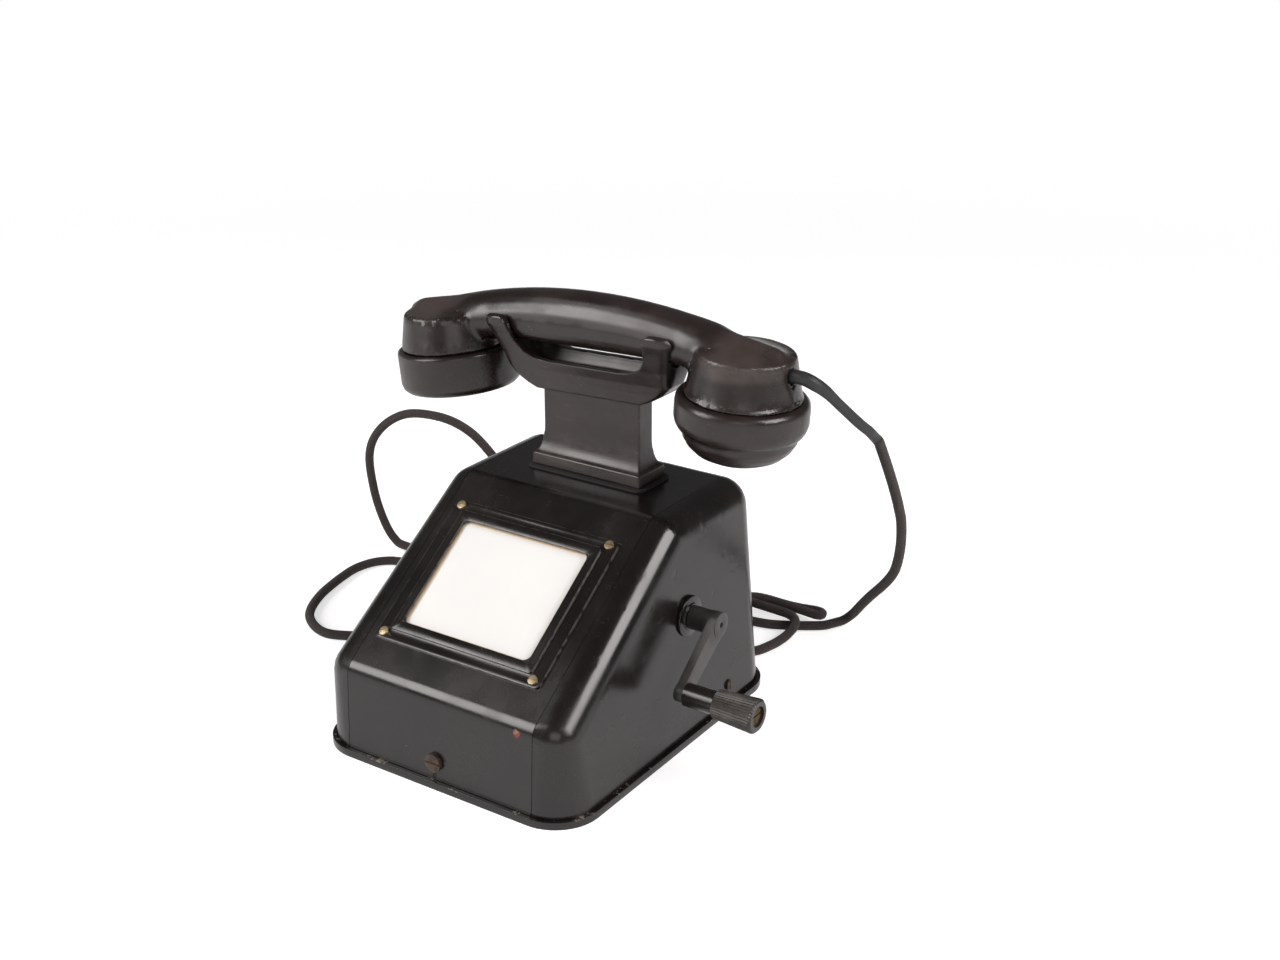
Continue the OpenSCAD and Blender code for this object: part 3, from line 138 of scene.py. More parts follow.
def relaxed(points, reach=0.9, rounds=80):
    """The path with its kinks eased, each point within reach of its place and no lower than LOW."""
    eased_path = [q.copy() for q in points]
    for _ in range(rounds):
        for i in range(2, len(points) - 2):
            q = 0.5 * eased_path[i] + 0.25 * (eased_path[i - 1] + eased_path[i + 1])
            off = q - points[i]
            q = points[i] + off * min(1.0, reach / max(off.length, 1e-9))
            q.z = max(q.z, LOW)
            eased_path[i] = q
    return eased_path


def coil_points():
    """The coil spirals in, climbs a layer and spirals out, then rises to the plug."""
    points = [Vector((COIL_X, COIL_C[1] - CORD_D, LOW))]
    for i in range(2 * COIL_TURNS * COIL_STEPS + 1):
        u = i / COIL_STEPS
        r = COIL_D / 2 + COIL_PITCH * (COIL_TURNS / 2 - u if u < COIL_TURNS else u - 1.5 * COIL_TURNS)
        z = COIL_C[2] + COIL_PITCH * max(0, min(1, (u - COIL_TURNS + 0.25) * 2))
        a = pi - 2 * pi * u
        points.append(Vector((COIL_C[0] + r * cos(a), COIL_C[1] + r * sin(a), z)))
    return points + [Vector((COIL_X, COIL_C[1] + on, up)) for on, up in PLUG_RISE]


def joined(*stretches):
    """One list of metre points through stretches that meet end to end."""
    points = []
    for stretch in stretches:
        points += stretch if not points else stretch[1:]
    kept = [points[0]]
    for q in points[1:]:
        if (q - kept[-1]).length > CLOSE:
            kept.append(q)
    kept[-1] = points[-1]
    return [q * MM for q in kept]


def tube(name, points, radii, sides=16):
    """A closed round tube along points, whose UV runs in metres along it and round it once."""
    bm = bmesh.new()
    uv = bm.loops.layers.uv.new("UVMap")
    rings, reach = [], [0.0]
    normal = Vector((0, 0, 1))
    for i, q in enumerate(points):
        ahead = points[min(i + 1, len(points) - 1)] - points[max(i - 1, 0)]
        t = ahead.normalized()
        normal = (normal - normal.dot(t) * t).normalized()
        side = t.cross(normal)
        r = radii[i] if isinstance(radii, list) else radii
        ring = []
        for k in range(sides):
            a = 2 * pi * k / sides
            ring.append(bm.verts.new(q + r * (normal * cos(a) + side * sin(a))))
        rings.append(ring)
        if i:
            reach.append(reach[-1] + (q - points[i - 1]).length)
    for i in range(len(points) - 1):
        for k in range(sides):
            face = bm.faces.new((rings[i][k], rings[i][(k + 1) % sides],
                                 rings[i + 1][(k + 1) % sides], rings[i + 1][k]))
            face.smooth = True
            for loop, (a, b) in zip(face.loops, ((k, i), (k + 1, i), (k + 1, i + 1), (k, i + 1))):
                loop[uv].uv = (a / sides, reach[b])
    for ring in (rings[0][::-1], rings[-1]):
        bm.faces.new(ring)
    bmesh.ops.recalc_face_normals(bm, faces=bm.faces)
    mesh = bpy.data.meshes.new(name)
    bm.to_mesh(mesh)
    bm.free()
    piece = bpy.data.objects.new(name, mesh)
    scene.collection.objects.link(piece)
    return piece


def length_of(points):
    """The length of a path."""
    return sum((b - a).length for a, b in zip(points, points[1:]))


handset_path = joined(relaxed(route(DROP + LOOPS)))
line_path = joined(relaxed(route(ARCH + LOOP)), coil_points())
handset_cord = tube("handset_cord", handset_path, CORD_D / 2 * MM)
line_cord = tube("line_cord", line_path, CORD_D / 2 * MM)
sleeve_path = joined(route(SLEEVE, 1.0))
last = len(sleeve_path) - 1
sleeve_radii = [MM * (SLEEVE_R - SLEEVE_TAPER * step(i / last, *TAPER_SPAN)) for i in range(last + 1)]
sleeve = tube("handset_cord_sleeve", sleeve_path, sleeve_radii, 24)

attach(handset_cord, "case")
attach(line_cord, "case")
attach(sleeve, "handset")
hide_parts("handset_cord_drop", "handset_cord_loops")
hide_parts("line_cord_arch", "line_cord_loop", "line_coil")
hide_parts("cord_sleeve")
length_of(handset_path)
length_of(line_path)

# Pieces that stand for CAD nodes, with softer edges

# The handset's own axes: its middle and its turn on the cradle
HANDSET_MID = Vector((-0.0036, 0.043, 0.2015))
HANDSET_TILT = Matrix.Rotation(radians(-2.3), 3, "Y")
# Where a cup's rim has its centre along the handset and in height, how wide its edge is, and where the
# sweep of its top begins
CUP_X, CUP_RIM, RIM_EDGE, SWEEP_START = 0.091, -0.00448, 0.0007, 0.070
# The ridge along the handset's top: height and radius of its arc, where the arc ends, the slope after it,
# where it starts to drop over the cup, and its end
RIDGE_TOP, RIDGE_R, ARC_END, RIDGE_SLOPE, DROP_START, RIDGE_END = 0.0145, 0.332, 0.086, 0.2, 0.107, 0.115
# Where along the handset the ridge's reach over a cup comes in, and where the sweep of a cup's top does
REACH_SPAN, SWEEP_SPAN = (0.088, 0.111), (0.072, 0.088)
# How flat the sweep starts at the ridge, how hollow it is, and where it fades out at the rim and in height
SWEEP_FLAT, SWEEP_POWER, RIM_SPAN, RIM_HEIGHT = 0.05, 1.7, (0, 0.0014), (-RIM_EDGE, 0.0003)
# The blend of the handle into the cups: how far out a flank is, then where the blend comes in and goes out
# along the handset on the flanks and on the underside, and the height from which it works
FLANK_SPAN = (0.006, 0.012)
FLANK_IN, FLANK_OUT = (0.054, 0.064), (0.068, 0.084)
UNDER_IN, UNDER_OUT = (0.054, 0.062), (0.068, 0.074)
BLEND_LOW = (-0.029, -0.020)
# Each cup: its side of the handset, inward lean, radius of its rim, reach and final drop of the ridge over it
EAR = (-1, radians(-4.5), 0.0262, 0.0022, 0.002)
MOUTH = (1, radians(6), 0.0246, 0.0, 0.007)


def only(piece):
    """Makes one piece the selected and active one."""
    bpy.ops.object.select_all(action="DESELECT")
    piece.select_set(True)
    bpy.context.view_layer.objects.active = piece


def copy_of(node, name):
    """A merged copy of a CAD node's solid, as a piece of its own."""
    piece = bpy.data.objects.new(name, nodes[node].data.copy())
    scene.collection.objects.link(piece)
    only(piece)
    bpy.ops.object.mode_set(mode="EDIT")
    bpy.ops.mesh.select_all(action="SELECT")
    bpy.ops.mesh.remove_doubles(threshold=1e-6)
    bpy.ops.object.mode_set(mode="OBJECT")
    return piece


def finish_with(piece, kind, **settings):
    """Adds one modifier to the piece and applies it."""
    only(piece)
    made = piece.modifiers.new("work", kind)
    for key, value in settings.items():
        setattr(made, key, value)
    bpy.ops.object.modifier_apply(modifier="work")


# The angles between faces from which an edge is rounded, and up to which two faces are shaded as one
EDGE_ANGLE = radians(35)
ROUND_ANGLE = radians(42)
FLAT_ANGLE = radians(40)
copies = {}


def stands_for(piece, body, node):
    """Lets a piece ride on a body in place of its CAD node."""
    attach(piece, body)
    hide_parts(node)
    copies[node] = piece


def remeshed(piece, voxel):
    """Rebuilds a piece's surface with faces of one size."""
    only(piece)
    piece.data.remesh_voxel_size = voxel
    bpy.ops.object.voxel_remesh()


def moulded(node, name, voxel, rounds):
    """A CAD solid remeshed finely, its edges rounded."""
    piece = copy_of(node, name)
    remeshed(piece, voxel)
    finish_with(piece, "SMOOTH", factor=0.5, iterations=rounds)
    bpy.ops.object.shade_smooth()
    return piece


def eased(node, name, width, segments):
    """A CAD solid whose sharp edges are broken by a narrow round."""
    piece = copy_of(node, name)
    finish_with(piece, "BEVEL", width=width, segments=segments, limit_method="ANGLE",
                angle_limit=EDGE_ANGLE)
    bpy.ops.object.shade_smooth_by_angle(angle=ROUND_ANGLE)
    return piece


def even(node, name):
    """A CAD solid whose rounds are shaded as one smooth surface with the flat faces beside them."""
    piece = copy_of(node, name)
    bpy.ops.object.shade_smooth_by_angle(angle=FLAT_ANGLE)
    finish_with(piece, "WEIGHTED_NORMAL", weight=100, keep_sharp=True)
    return piece


def crest(x, reach, drop):
    """Height of the ridge's top at x along the handset, as in the part's source."""
    a = abs(x) - reach * step(abs(x), *REACH_SPAN)
    low = min(a, ARC_END)
    return (RIDGE_TOP - RIDGE_R + (RIDGE_R ** 2 - low ** 2) ** 0.5 - RIDGE_SLOPE * max(a - ARC_END, 0)
            - drop * (max(a - DROP_START, 0) / (RIDGE_END - DROP_START)) ** 2)


def scooped(piece, cup):
    """Sweeps a cup's top up to the ridge in one hollow curve on either side."""
    side, lean, rim, reach, drop = cup
    turn = Matrix.Rotation(lean, 3, "Y")
    middle = Vector((side * CUP_X, 0, CUP_RIM))
    inner = rim - RIM_EDGE
    for v in piece.data.vertices:
        at = HANDSET_TILT.transposed() @ (v.co - HANDSET_MID)
        if at.x * side < SWEEP_START:
            continue
        q = turn.transposed() @ (at - middle)
        if q.z < -RIM_EDGE or hypot(q.x, q.y) > inner:
            continue
        top = turn.transposed() @ (Vector((at.x, 0, crest(at.x, reach, drop))) - middle)
        out = abs(q.y) / (inner ** 2 - q.x ** 2) ** 0.5
        across = min(1.0, max(0.0, out - SWEEP_FLAT) / (1 - SWEEP_FLAT))
        swept = max(0.0, top.z) * (1 - across) ** SWEEP_POWER
        share = (step(at.x * side, *SWEEP_SPAN) * step(inner - hypot(q.x, q.y), *RIM_SPAN)
                 * step(q.z, *RIM_HEIGHT))
        q.z += share * (swept - q.z)
        v.co = HANDSET_TILT @ (turn @ q + middle) + HANDSET_MID


def blended(piece, rounds):
    """Runs the handle's sides and underside smoothly into the cups' walls.

    The flanks are smoothed further out along the handset, and higher, than the underside.
    """
    group = piece.vertex_groups.new(name="blend")
    for v in piece.data.vertices:
        at = HANDSET_TILT.transposed() @ (v.co - HANDSET_MID)
        a = abs(at.x)
        flank = step(abs(at.y), *FLANK_SPAN)
        share = (step(a, *FLANK_IN) * (1 - step(a, *FLANK_OUT)) * flank
                 + step(a, *UNDER_IN) * (1 - step(a, *UNDER_OUT)) * (1 - flank))
        share *= step(at.z, *BLEND_LOW)
        share *= 1 - step(at.z, 0.002 + 0.006 * flank, 0.008 + 0.008 * flank)
        if share > 0.01:
            group.add([v.index], share, "REPLACE")
    finish_with(piece, "SMOOTH", factor=0.5, iterations=rounds, vertex_group="blend")
    piece.vertex_groups.clear()


HANDSET_VOXEL = 0.0008
BLEND_ROUNDS = 40
POLISH_ROUNDS = 14
handset_body = copy_of("handset_handle", "handset_moulding")
remeshed(handset_body, HANDSET_VOXEL)
for cup in (EAR, MOUTH):
    scooped(handset_body, cup)
remeshed(handset_body, HANDSET_VOXEL)
blended(handset_body, BLEND_ROUNDS)
finish_with(handset_body, "SMOOTH", factor=0.5, iterations=POLISH_ROUNDS)
bpy.ops.object.shade_smooth()
stands_for(handset_body, "handset", "handset_handle")

# How a piece is made, its CAD node, its name, body and slot, and then voxel size and rounds of smoothing for
# moulded, or width and segments of the edge for eased
STAND_INS = (
    (moulded, "cradle", "cradle_moulding", "cradle", "bakelite", 0.0006, 6),
    (moulded, "pedestal", "pedestal_moulding", "case", "bakelite", 0.0007, 4),
    (eased, "base_plate", "base_pressing", "case", "black_enamel", 0.0011, 3),
    (eased, "card_frame", "card_frame_pressing", "case", "black_enamel", 0.0005, 2),
    (eased, "crank_arm", "crank_arm_forging", "crank", "dark_metal", 0.0005, 2),
    (eased, "crank_bush", "crank_bush_turned", "case", "dark_metal", 0.0003, 2),
    (even, "case_centre_panel", "case_centre_panel_pressing", "case", "black_enamel"),
    (even, "case_left_shell", "case_left_shell_pressing", "case", "black_enamel"),
    (even, "case_right_shell", "case_right_shell_pressing", "case", "black_enamel"),
    (even, "receiver_cap", "receiver_cap_turned", "handset", "bakelite"),
    (even, "transmitter_cap", "transmitter_cap_turned", "handset", "bakelite"),
    (eased, "frame_screws", "frame_screws_turned", "case", "brass", 0.0003, 2),
    (eased, "front_screw", "front_screw_turned", "case", "dark_metal", 0.0004, 2),
    (eased, "side_screws", "side_screw_turned", "case", "dark_metal", 0.0002, 2))
for make, node, name, body, slot, *measures in STAND_INS:
    stands_for(make(node, name, *measures), body, node)

# Materials


class Level:
    """An output socket of a material, on which sums add Math nodes."""

    def __init__(self, paint, socket):
        self.paint, self.socket = paint, socket

    def _sum(self, operation, other, swapped=False):
        pair = (other, self) if swapped else (self, other)
        return self.paint.node("Math", {"operation": operation}, *pair)

    def __add__(self, other):
        return self._sum("ADD", other)

    def __radd__(self, other):
        return self._sum("ADD", other)

    def __sub__(self, other):
        return self._sum("SUBTRACT", other)

    def __rsub__(self, other):
        return self._sum("SUBTRACT", other, True)

    def __mul__(self, other):
        return self._sum("MULTIPLY", other)

    def __rmul__(self, other):
        return self._sum("MULTIPLY", other)

    def __truediv__(self, other):
        return self._sum("DIVIDE", other)

    def __pow__(self, other):
        return self._sum("POWER", other)

    def above(self, low, high):
        """0 below low, 1 above high, and a smooth ramp between them."""
        return self.paint.node("MapRange", {"interpolation_type": "SMOOTHSTEP"}, self, low, high, 0.0, 1.0)

    def most(self, other):
        """The greater of two levels."""
        return self._sum("MAXIMUM", other)

    def size(self):
        """The level without its sign."""
        return self.paint.node("Math", {"operation": "ABSOLUTE"}, self)

    def wave(self):
        """The level's sine."""
        return self.paint.node("Math", {"operation": "SINE"}, self)


class Paint:
    """A finish made of nodes, for the pieces that carry it."""

    def __init__(self, name):
        self.material = bpy.data.materials.new(name)
        self.material.use_nodes = True
        self.tree = self.material.node_tree
        self.shader = self.tree.nodes["Principled BSDF"]
        self.place = self.node("TexCoord", {}, output="Object")

    def node(self, kind, settings, *inputs, output=0, **named):
        """Adds a node, applies its settings, then fills its sockets by order or by name."""
        made = self.tree.nodes.new("ShaderNode" + kind)
        for key, value in settings.items():
            setattr(made, key, value)
        for key, value in enumerate(inputs):
            self.fill(made.inputs[key], value)
        for key, value in named.items():
            self.fill(made.inputs[key.replace("_", " ")], value)
        return Level(self, made.outputs[output])

    def fill(self, socket, value):
        """Links a level to a socket, or sets a plain value on it."""
        if isinstance(value, Level):
            self.tree.links.new(value.socket, socket)
        elif value is not None:
            socket.default_value = value

    def noise(self, scale, detail=2.0, roughness=0.5, stretch=None):
        """Cloudy noise from 0 to 1, drawn out along the axes whose stretch is below 1."""
        spot = self.place
        if stretch:
            spot = self.node("Mapping", {}, spot, Scale=stretch)
        return self.node("TexNoise", {}, Vector=spot, Scale=scale, Detail=detail, Roughness=roughness,
                         output="Fac")

    def cells(self, scale):
        """Distance to the nearest of many scattered points."""
        return self.node("TexVoronoi", {}, Vector=self.place, Scale=scale, output="Distance")

    def mix(self, share, a, b):
        """Colour a where share is 0 and b where it is 1."""
        made = self.tree.nodes.new("ShaderNodeMix")
        made.data_type = "RGBA"
        self.fill(made.inputs[0], share)
        for socket, value in ((made.inputs[6], a), (made.inputs[7], b)):
            self.fill(socket, value if isinstance(value, Level) else (*value, 1))
        return Level(self, made.outputs[2])

    def xyz(self, place=None):
        """The three coordinates of a place, the object's own if none is given."""
        split = self.node("SeparateXYZ", {}, place or self.place)
        return [Level(self, split.socket.node.outputs[i]) for i in range(3)]

    def bump(self, height, distance, strength):
        """A normal that rises and sinks with height, by at most distance in metres."""
        return self.node("Bump", {}, Strength=strength, Distance=distance, Height=height, output="Normal")

    def done(self, colour, roughness, metallic=0.0, normal=None, alpha=None, **fixed):
        """Fills the shader: what varies over the surface, and fixed values by socket name."""
        for name, value in (("Base Color", colour), ("Roughness", roughness), ("Metallic", metallic),
                            ("Normal", normal), ("Alpha", alpha)):
            if isinstance(value, tuple):
                value = (*value, 1)
            self.fill(self.shader.inputs[name], value)
        for key, value in fixed.items():
            self.shader.inputs[key.replace("_", " ")].default_value = value
        return self.material


def grey(value, warm=0.0):
    """A grey, or one that leans to brown by the share warm."""
    return (value * (1 + warm), value, value * (1 - warm))


# Where the grip's knurling begins and ends along X
GRIP_KNURL_X = 0.1103
GRIP_END_X = 0.1328
# The one chip in the front's enamel, the notch under the front screw, whose dark inside is painted shade, and
# the front within which that painted shade lies, and the height of the base's lip
CHIP_AT = (0.0478, -0.0923, 0.0446)
NOTCH_AT = (-0.0018, -0.0945, 0.0068)
NOTCH_FRONT = (-0.088, -0.085)
LIP_Z = 0.0038
# Zones that come in between two coordinates: the front corner on the crank's side, where the lip is worn
# most, the heights above which the card frame's painted highlight lines are drawn, and the side's dents
CORNER_X, CORNER_Y = (0.030, 0.062), (-0.085, -0.055)
PAINTED_LINES_Z = (0.048, 0.052)
DENTS_X, DENTS_Z = (0.050, 0.056), (0.062, 0.075)
# Where dust lies on the moulding: the cups' tops, and the sweep at the pedestal's foot
CUPS_X, CUPS_Z = (0.074, 0.088), (0.1905, 0.1945)
SWEEP_Z, SWEEP_TOP = (0.1215, 0.126), (0.134, 0.142)
# Middle of the window on the slope, and the way down the slope in Y and Z
SLOPE_MID = (-0.0015, -0.0419, 0.0844)
SLOPE_DOWN = (0.812, 0.5835)
# Half width and half height of the window, and then of the card frame's outer edge, step and window
WINDOW = (0.0388, 0.0313)
FRAME_STEPS = ((0.0505, 0.04225), (0.0435, 0.0365), WINDOW)
# Thickness of the coils' wire, threads round the cord's braid and its length of lay
WIRE_D = 0.0006
THREADS, LAY = 8, 0.0095


def slope_place(p):
    """How far a point is from the window's middle, across and along the slope."""
    x, y, z = p.xyz()
    along = (y - SLOPE_MID[1]) * SLOPE_DOWN[0] + (z - SLOPE_MID[2]) * SLOPE_DOWN[1]
    return (x - SLOPE_MID[0]).size(), along.size()


def window_edge(p):
    """0 at the window's middle and 1 at its edge."""
    across, along = slope_place(p)
    return (across / WINDOW[0]).most(along / WINDOW[1])


def stoved_enamel():
    """Black stoved enamel over brown sheet steel: glossy, wiped dull in patches, bare at the base's lip, with
    painted highlight lines along the card frame's steps and painted shade in the notch under the front screw.
    """
    p = Paint("stoved_enamel")
    x, y, z = p.xyz()
    cloud = p.noise(16, 4, 0.6)
    fine = p.noise(260, 3, 0.6)
    peel = p.noise(500, 2)
    wiped = p.noise(60, 3, 0.7, stretch=(1, 0.25, 1))
    dust = p.noise(1500, 2, 0.8).above(0.66, 0.70) * p.noise(120, 2).above(0.5, 0.66)
    edge = (z - LIP_Z).size()
    corner = x.above(*CORNER_X) * (1 - y.above(*CORNER_Y))
    lip = (1 - edge.above(0.0002, 0.0006)) * (p.noise(75, 4, 0.75) + corner * 0.10).above(0.585, 0.64)
    spot = ((x - CHIP_AT[0]) ** 2 + (y - CHIP_AT[1]) ** 2 + (z - CHIP_AT[2]) ** 2) ** 0.5
    rust = 1 - (spot + fine * 0.0040).above(0.0034, 0.0042)
    # Painted shade: the notch under the front screw is not cut into the case; its dark inside is painted
    # near-black
    hole = (x - NOTCH_AT[0]).size().most((z - NOTCH_AT[2]).size() * 0.55)
    notch_shade = (1 - (hole + fine * 0.0008).above(0.0014, 0.0018)) * (1 - y.above(*NOTCH_FRONT))
    bare = lip.most(p.noise(900, 2, 0.7).above(0.70, 0.74) * p.noise(45, 2).above(0.62, 0.68))
    # Painted highlight lines along the steps of the card frame, broken up by noise
    across, along = slope_place(p)
    painted_frame_lines = None
    for half_w, half_h in FRAME_STEPS:
        off = (across - half_w).most(along - half_h).size()
        line = 1 - off.above(0.0001, 0.0004)
        painted_frame_lines = line if painted_frame_lines is None else painted_frame_lines.most(line)
    painted_frame_lines = painted_frame_lines * fine.above(0.30, 0.55) * z.above(*PAINTED_LINES_Z)
    film = cloud.above(0.35, 0.75)
    colour = p.mix(film, (0.0058, 0.0044, 0.0040), (0.0125, 0.0096, 0.0088))
    colour = p.mix(dust * 0.4, colour, (0.17, 0.15, 0.14))
    # Painted highlight: a lighter line along each step of the card frame
    colour = p.mix(painted_frame_lines * 0.6, colour, (0.10, 0.090, 0.082))
    colour = p.mix(bare, colour, p.mix(fine, (0.10, 0.075, 0.060), (0.42, 0.38, 0.34)))
    colour = p.mix(rust, colour, p.mix(fine.above(0.4, 0.6), (0.20, 0.035, 0.022), (0.30, 0.16, 0.12)))
    # Painted shade, near-black, where the notch is
    colour = p.mix(notch_shade, colour, (0.002, 0.0018, 0.0016))
    rough = 0.19 + film * 0.10 + wiped.above(0.45, 0.75) * 0.08 + dust * 0.25 + bare * 0.18
    rough = rough + rust.most(notch_shade) * 0.4
    dents = p.noise(110, 2, 0.4).above(0.60, 0.74) * x.above(*DENTS_X) * z.above(*DENTS_Z)
    height = peel * 0.2 + fine * 0.12 - bare * 1.2 - rust * 1.5 - dents * 3.0
    return p.done(colour, rough, bare * 0.5, p.bump(height, 0.00006, 0.6))


def moulded_bakelite(name="moulded_bakelite", worn=1.0):
    """Brown-black moulded phenolic, polished by hands, with dust, smears and pale specks."""
    p = Paint(name)
    x, _, z = p.xyz()
    cloud = p.noise(24, 4, 0.6)
    mottle = p.noise(320, 3, 0.6)
    smear = p.noise(90, 4, 0.7, stretch=(0.3, 1, 1))
    specks = (1 - p.cells(420).above(0.07, 0.12)) * p.noise(70, 3).above(0.61, 0.68)
    scuff = p.noise(700, 2, 0.7, stretch=(0.15, 1, 1)).above(0.60, 0.72) * cloud.above(0.5, 0.7)
    film = cloud.above(0.38, 0.72)
    colour = p.mix(film, (0.0125, 0.0078, 0.0068), (0.030, 0.0215, 0.0190))
    colour = p.mix(mottle.above(0.55, 0.8) * 0.5, colour, (0.040, 0.022, 0.017))
    cups = (x - HANDSET_MID.x).size().above(*CUPS_X) * z.above(*CUPS_Z)
    sweep = z.above(*SWEEP_Z) * (1 - z.above(*SWEEP_TOP))
    settled = (cups * cloud.above(0.2, 0.6)).most(sweep * smear.above(0.40, 0.62) * 0.8) * worn
    colour = p.mix(settled * 0.8, colour, (0.066, 0.050, 0.045))
    colour = p.mix(specks * (0.6 * worn), colour, (0.30, 0.27, 0.24))
    colour = p.mix(scuff * (0.35 * worn), colour, (0.12, 0.105, 0.095))
    rough = 0.27 + film * 0.13 + smear.above(0.45, 0.8) * 0.10 + specks * 0.3
    height = mottle * 0.12 + p.noise(1400, 2) * 0.25 + specks * 0.4
    return p.done(colour, rough, 0.0, p.bump(height, 0.00004, 0.6))


def worn_metal():
    """Dark worn plating on the crank arm."""
    p = Paint("worn_metal")
    cloud = p.noise(60, 4, 0.6)
    grain = p.noise(1200, 3, 0.6)
    scratch = p.noise(260, 3, 0.7, stretch=(1, 0.06, 0.06)).above(0.6, 0.72)
    colour = p.mix(cloud.above(0.35, 0.75), grey(0.060, 0.04), grey(0.105, 0.05))
    colour = p.mix(scratch * 0.5, colour, grey(0.22, 0.03))
    return p.done(colour, 0.34 + cloud * 0.2 - scratch * 0.08, 0.6 + scratch * 0.2,
                  p.bump(grain * 0.5 - scratch * 0.5, 0.00003, 0.6))


def plain_steel():
    """Machined steel with faint drawn lines and brown stains."""
    p = Paint("plain_steel")
    drawn = p.noise(500, 3, 0.6, stretch=(0.08, 1, 1))
    stain = p.noise(55, 4, 0.6)
    colour = p.mix(stain.above(0.4, 0.75), (0.42, 0.42, 0.43), (0.26, 0.235, 0.21))
    return p.done(colour, 0.28 + drawn * 0.22 + stain * 0.08, 1.0, p.bump(drawn, 0.00002, 0.5))


def aged_brass():
    """Brass gone dull, with darker stains."""
    p = Paint("aged_brass")
    stain = p.noise(180, 4, 0.65)
    grain = p.noise(1500, 2)
    colour = p.mix(stain.above(0.35, 0.7), (0.44, 0.35, 0.21), (0.13, 0.095, 0.065))
    return p.done(colour, 0.34 + stain * 0.25, 0.85, p.bump(grain, 0.00003, 0.5))


def wound_wire(name, bright, dark):
    """Turns of enamelled wire side by side along Y, darker between the turns as painted shade in the grooves.
    """
    p = Paint(name)
    turns = (p.xyz()[1] * (2 * pi / WIRE_D)).wave()
    stain = p.noise(120, 3)
    # Painted shade: the colour darkens in the grooves between the turns and is lightest on their crests
    colour = p.mix(turns.above(-0.8, 0.6) * 0.8 + stain * 0.2, dark, bright)
    return p.done(colour, 0.32 + stain * 0.15, 0.6, p.bump(turns, 0.00015, 0.8))


def dusty_knurling():
    """The knurled grip: the same moulding, its flutes filled with pale dust; its sleeve stays polished."""
    p = Paint("dusty_knurling")
    x = p.xyz()[0]
    ribbed = x.above(GRIP_KNURL_X - 0.0002, GRIP_KNURL_X + 0.0003)
    ends = x.above(GRIP_END_X - 0.0016, GRIP_END_X - 0.0008)
    cloud = p.noise(140, 4, 0.65)
    grain = p.noise(1500, 3, 0.7)
    dusty = ribbed * (1 - ends * 0.7) * cloud.above(0.25, 0.7)
    colour = p.mix(dusty, (0.012, 0.0095, 0.0085), (0.064, 0.054, 0.046))
    colour = p.mix(ribbed * grain.above(0.6, 0.75) * 0.4, colour, (0.14, 0.12, 0.10))
    rough = 0.18 + ribbed * 0.26 + cloud * 0.08 - ends * 0.12
    return p.done(colour, rough, 0.0, p.bump(grain, 0.00005, 0.5))


def dark_brass():
    """The brass screw deep in the grip, brown with age."""
    p = Paint("dark_brass")
    stain = p.noise(220, 4, 0.65)
    colour = p.mix(stain.above(0.35, 0.7), (0.16, 0.105, 0.05), (0.05, 0.034, 0.022))
    return p.done(colour, 0.42 + stain * 0.25, 0.7, p.bump(stain, 0.00004, 0.5))


def rusted_screw():
    """A screw whose black finish has gone brown, most of all in its slot."""
    p = Paint("rusted_screw")
    stain = p.noise(260, 4, 0.7)
    grain = p.noise(1200, 2, 0.6)
    colour = p.mix(stain.above(0.35, 0.62), (0.026, 0.021, 0.019), (0.085, 0.052, 0.036))
    colour = p.mix(grain.above(0.62, 0.72) * 0.4, colour, (0.20, 0.16, 0.13))
    return p.done(colour, 0.36 + stain * 0.25, 0.45, p.bump(grain, 0.00004, 0.5))


def cast_magnet():
    """Rough blackened iron with some rust."""
    p = Paint("cast_magnet")
    rough = p.noise(420, 4, 0.7)
    rust = p.noise(70, 4, 0.6).above(0.56, 0.72)
    colour = p.mix(rust * 0.7, grey(0.035), (0.09, 0.045, 0.025))
    return p.done(colour, 0.5 + rough * 0.25, 0.35, p.bump(rough, 0.0002, 0.6))


def blank_card():
    """White card, slightly aged towards its edge."""
    p = Paint("blank_card")
    edge = window_edge(p).above(0.93, 1.0)
    fibre = p.noise(900, 4, 0.7)
    cloud = p.noise(25, 3)
    colour = p.mix(cloud.above(0.4, 0.7), (0.865, 0.875, 0.875), (0.845, 0.855, 0.855))
    colour = p.mix(edge * 0.5, colour, (0.80, 0.66, 0.46))
    return p.done(colour, 0.72 + fibre * 0.1, 0.0, p.bump(fibre, 0.00003, 0.5))


def clear_celluloid():
    """Clear window, yellowed along its edge and faintly scratched."""
    p = Paint("clear_celluloid")
    edge = window_edge(p).above(0.970, 1.0)
    scratch = p.noise(700, 3, 0.7, stretch=(0.1, 1, 1)).above(0.66, 0.74)
    return p.done((0.72, 0.50, 0.24), 0.12 + scratch * 0.3, 0.0,
                  p.bump(p.noise(60, 2), 0.0001, 0.4), alpha=0.02 + edge * 0.32 + scratch * 0.02)


def pressed_board():
    """Dark fibre board of the gasket."""
    p = Paint("pressed_board")
    fibre = p.noise(700, 4, 0.7)
    return p.done(p.mix(fibre, grey(0.014), grey(0.035, 0.05)), 0.7 + fibre * 0.15, 0.0,
                  p.bump(fibre, 0.0001, 0.6))


def smooth_rubber():
    """Smooth dark rubber with a dull bloom."""
    p = Paint("smooth_rubber")
    bloom = p.noise(120, 4, 0.6)
    fine = p.noise(1600, 2)
    return p.done(p.mix(bloom.above(0.4, 0.75), grey(0.012), grey(0.030)), 0.42 + bloom * 0.2, 0.0,
                  p.bump(fine, 0.00004, 0.6))


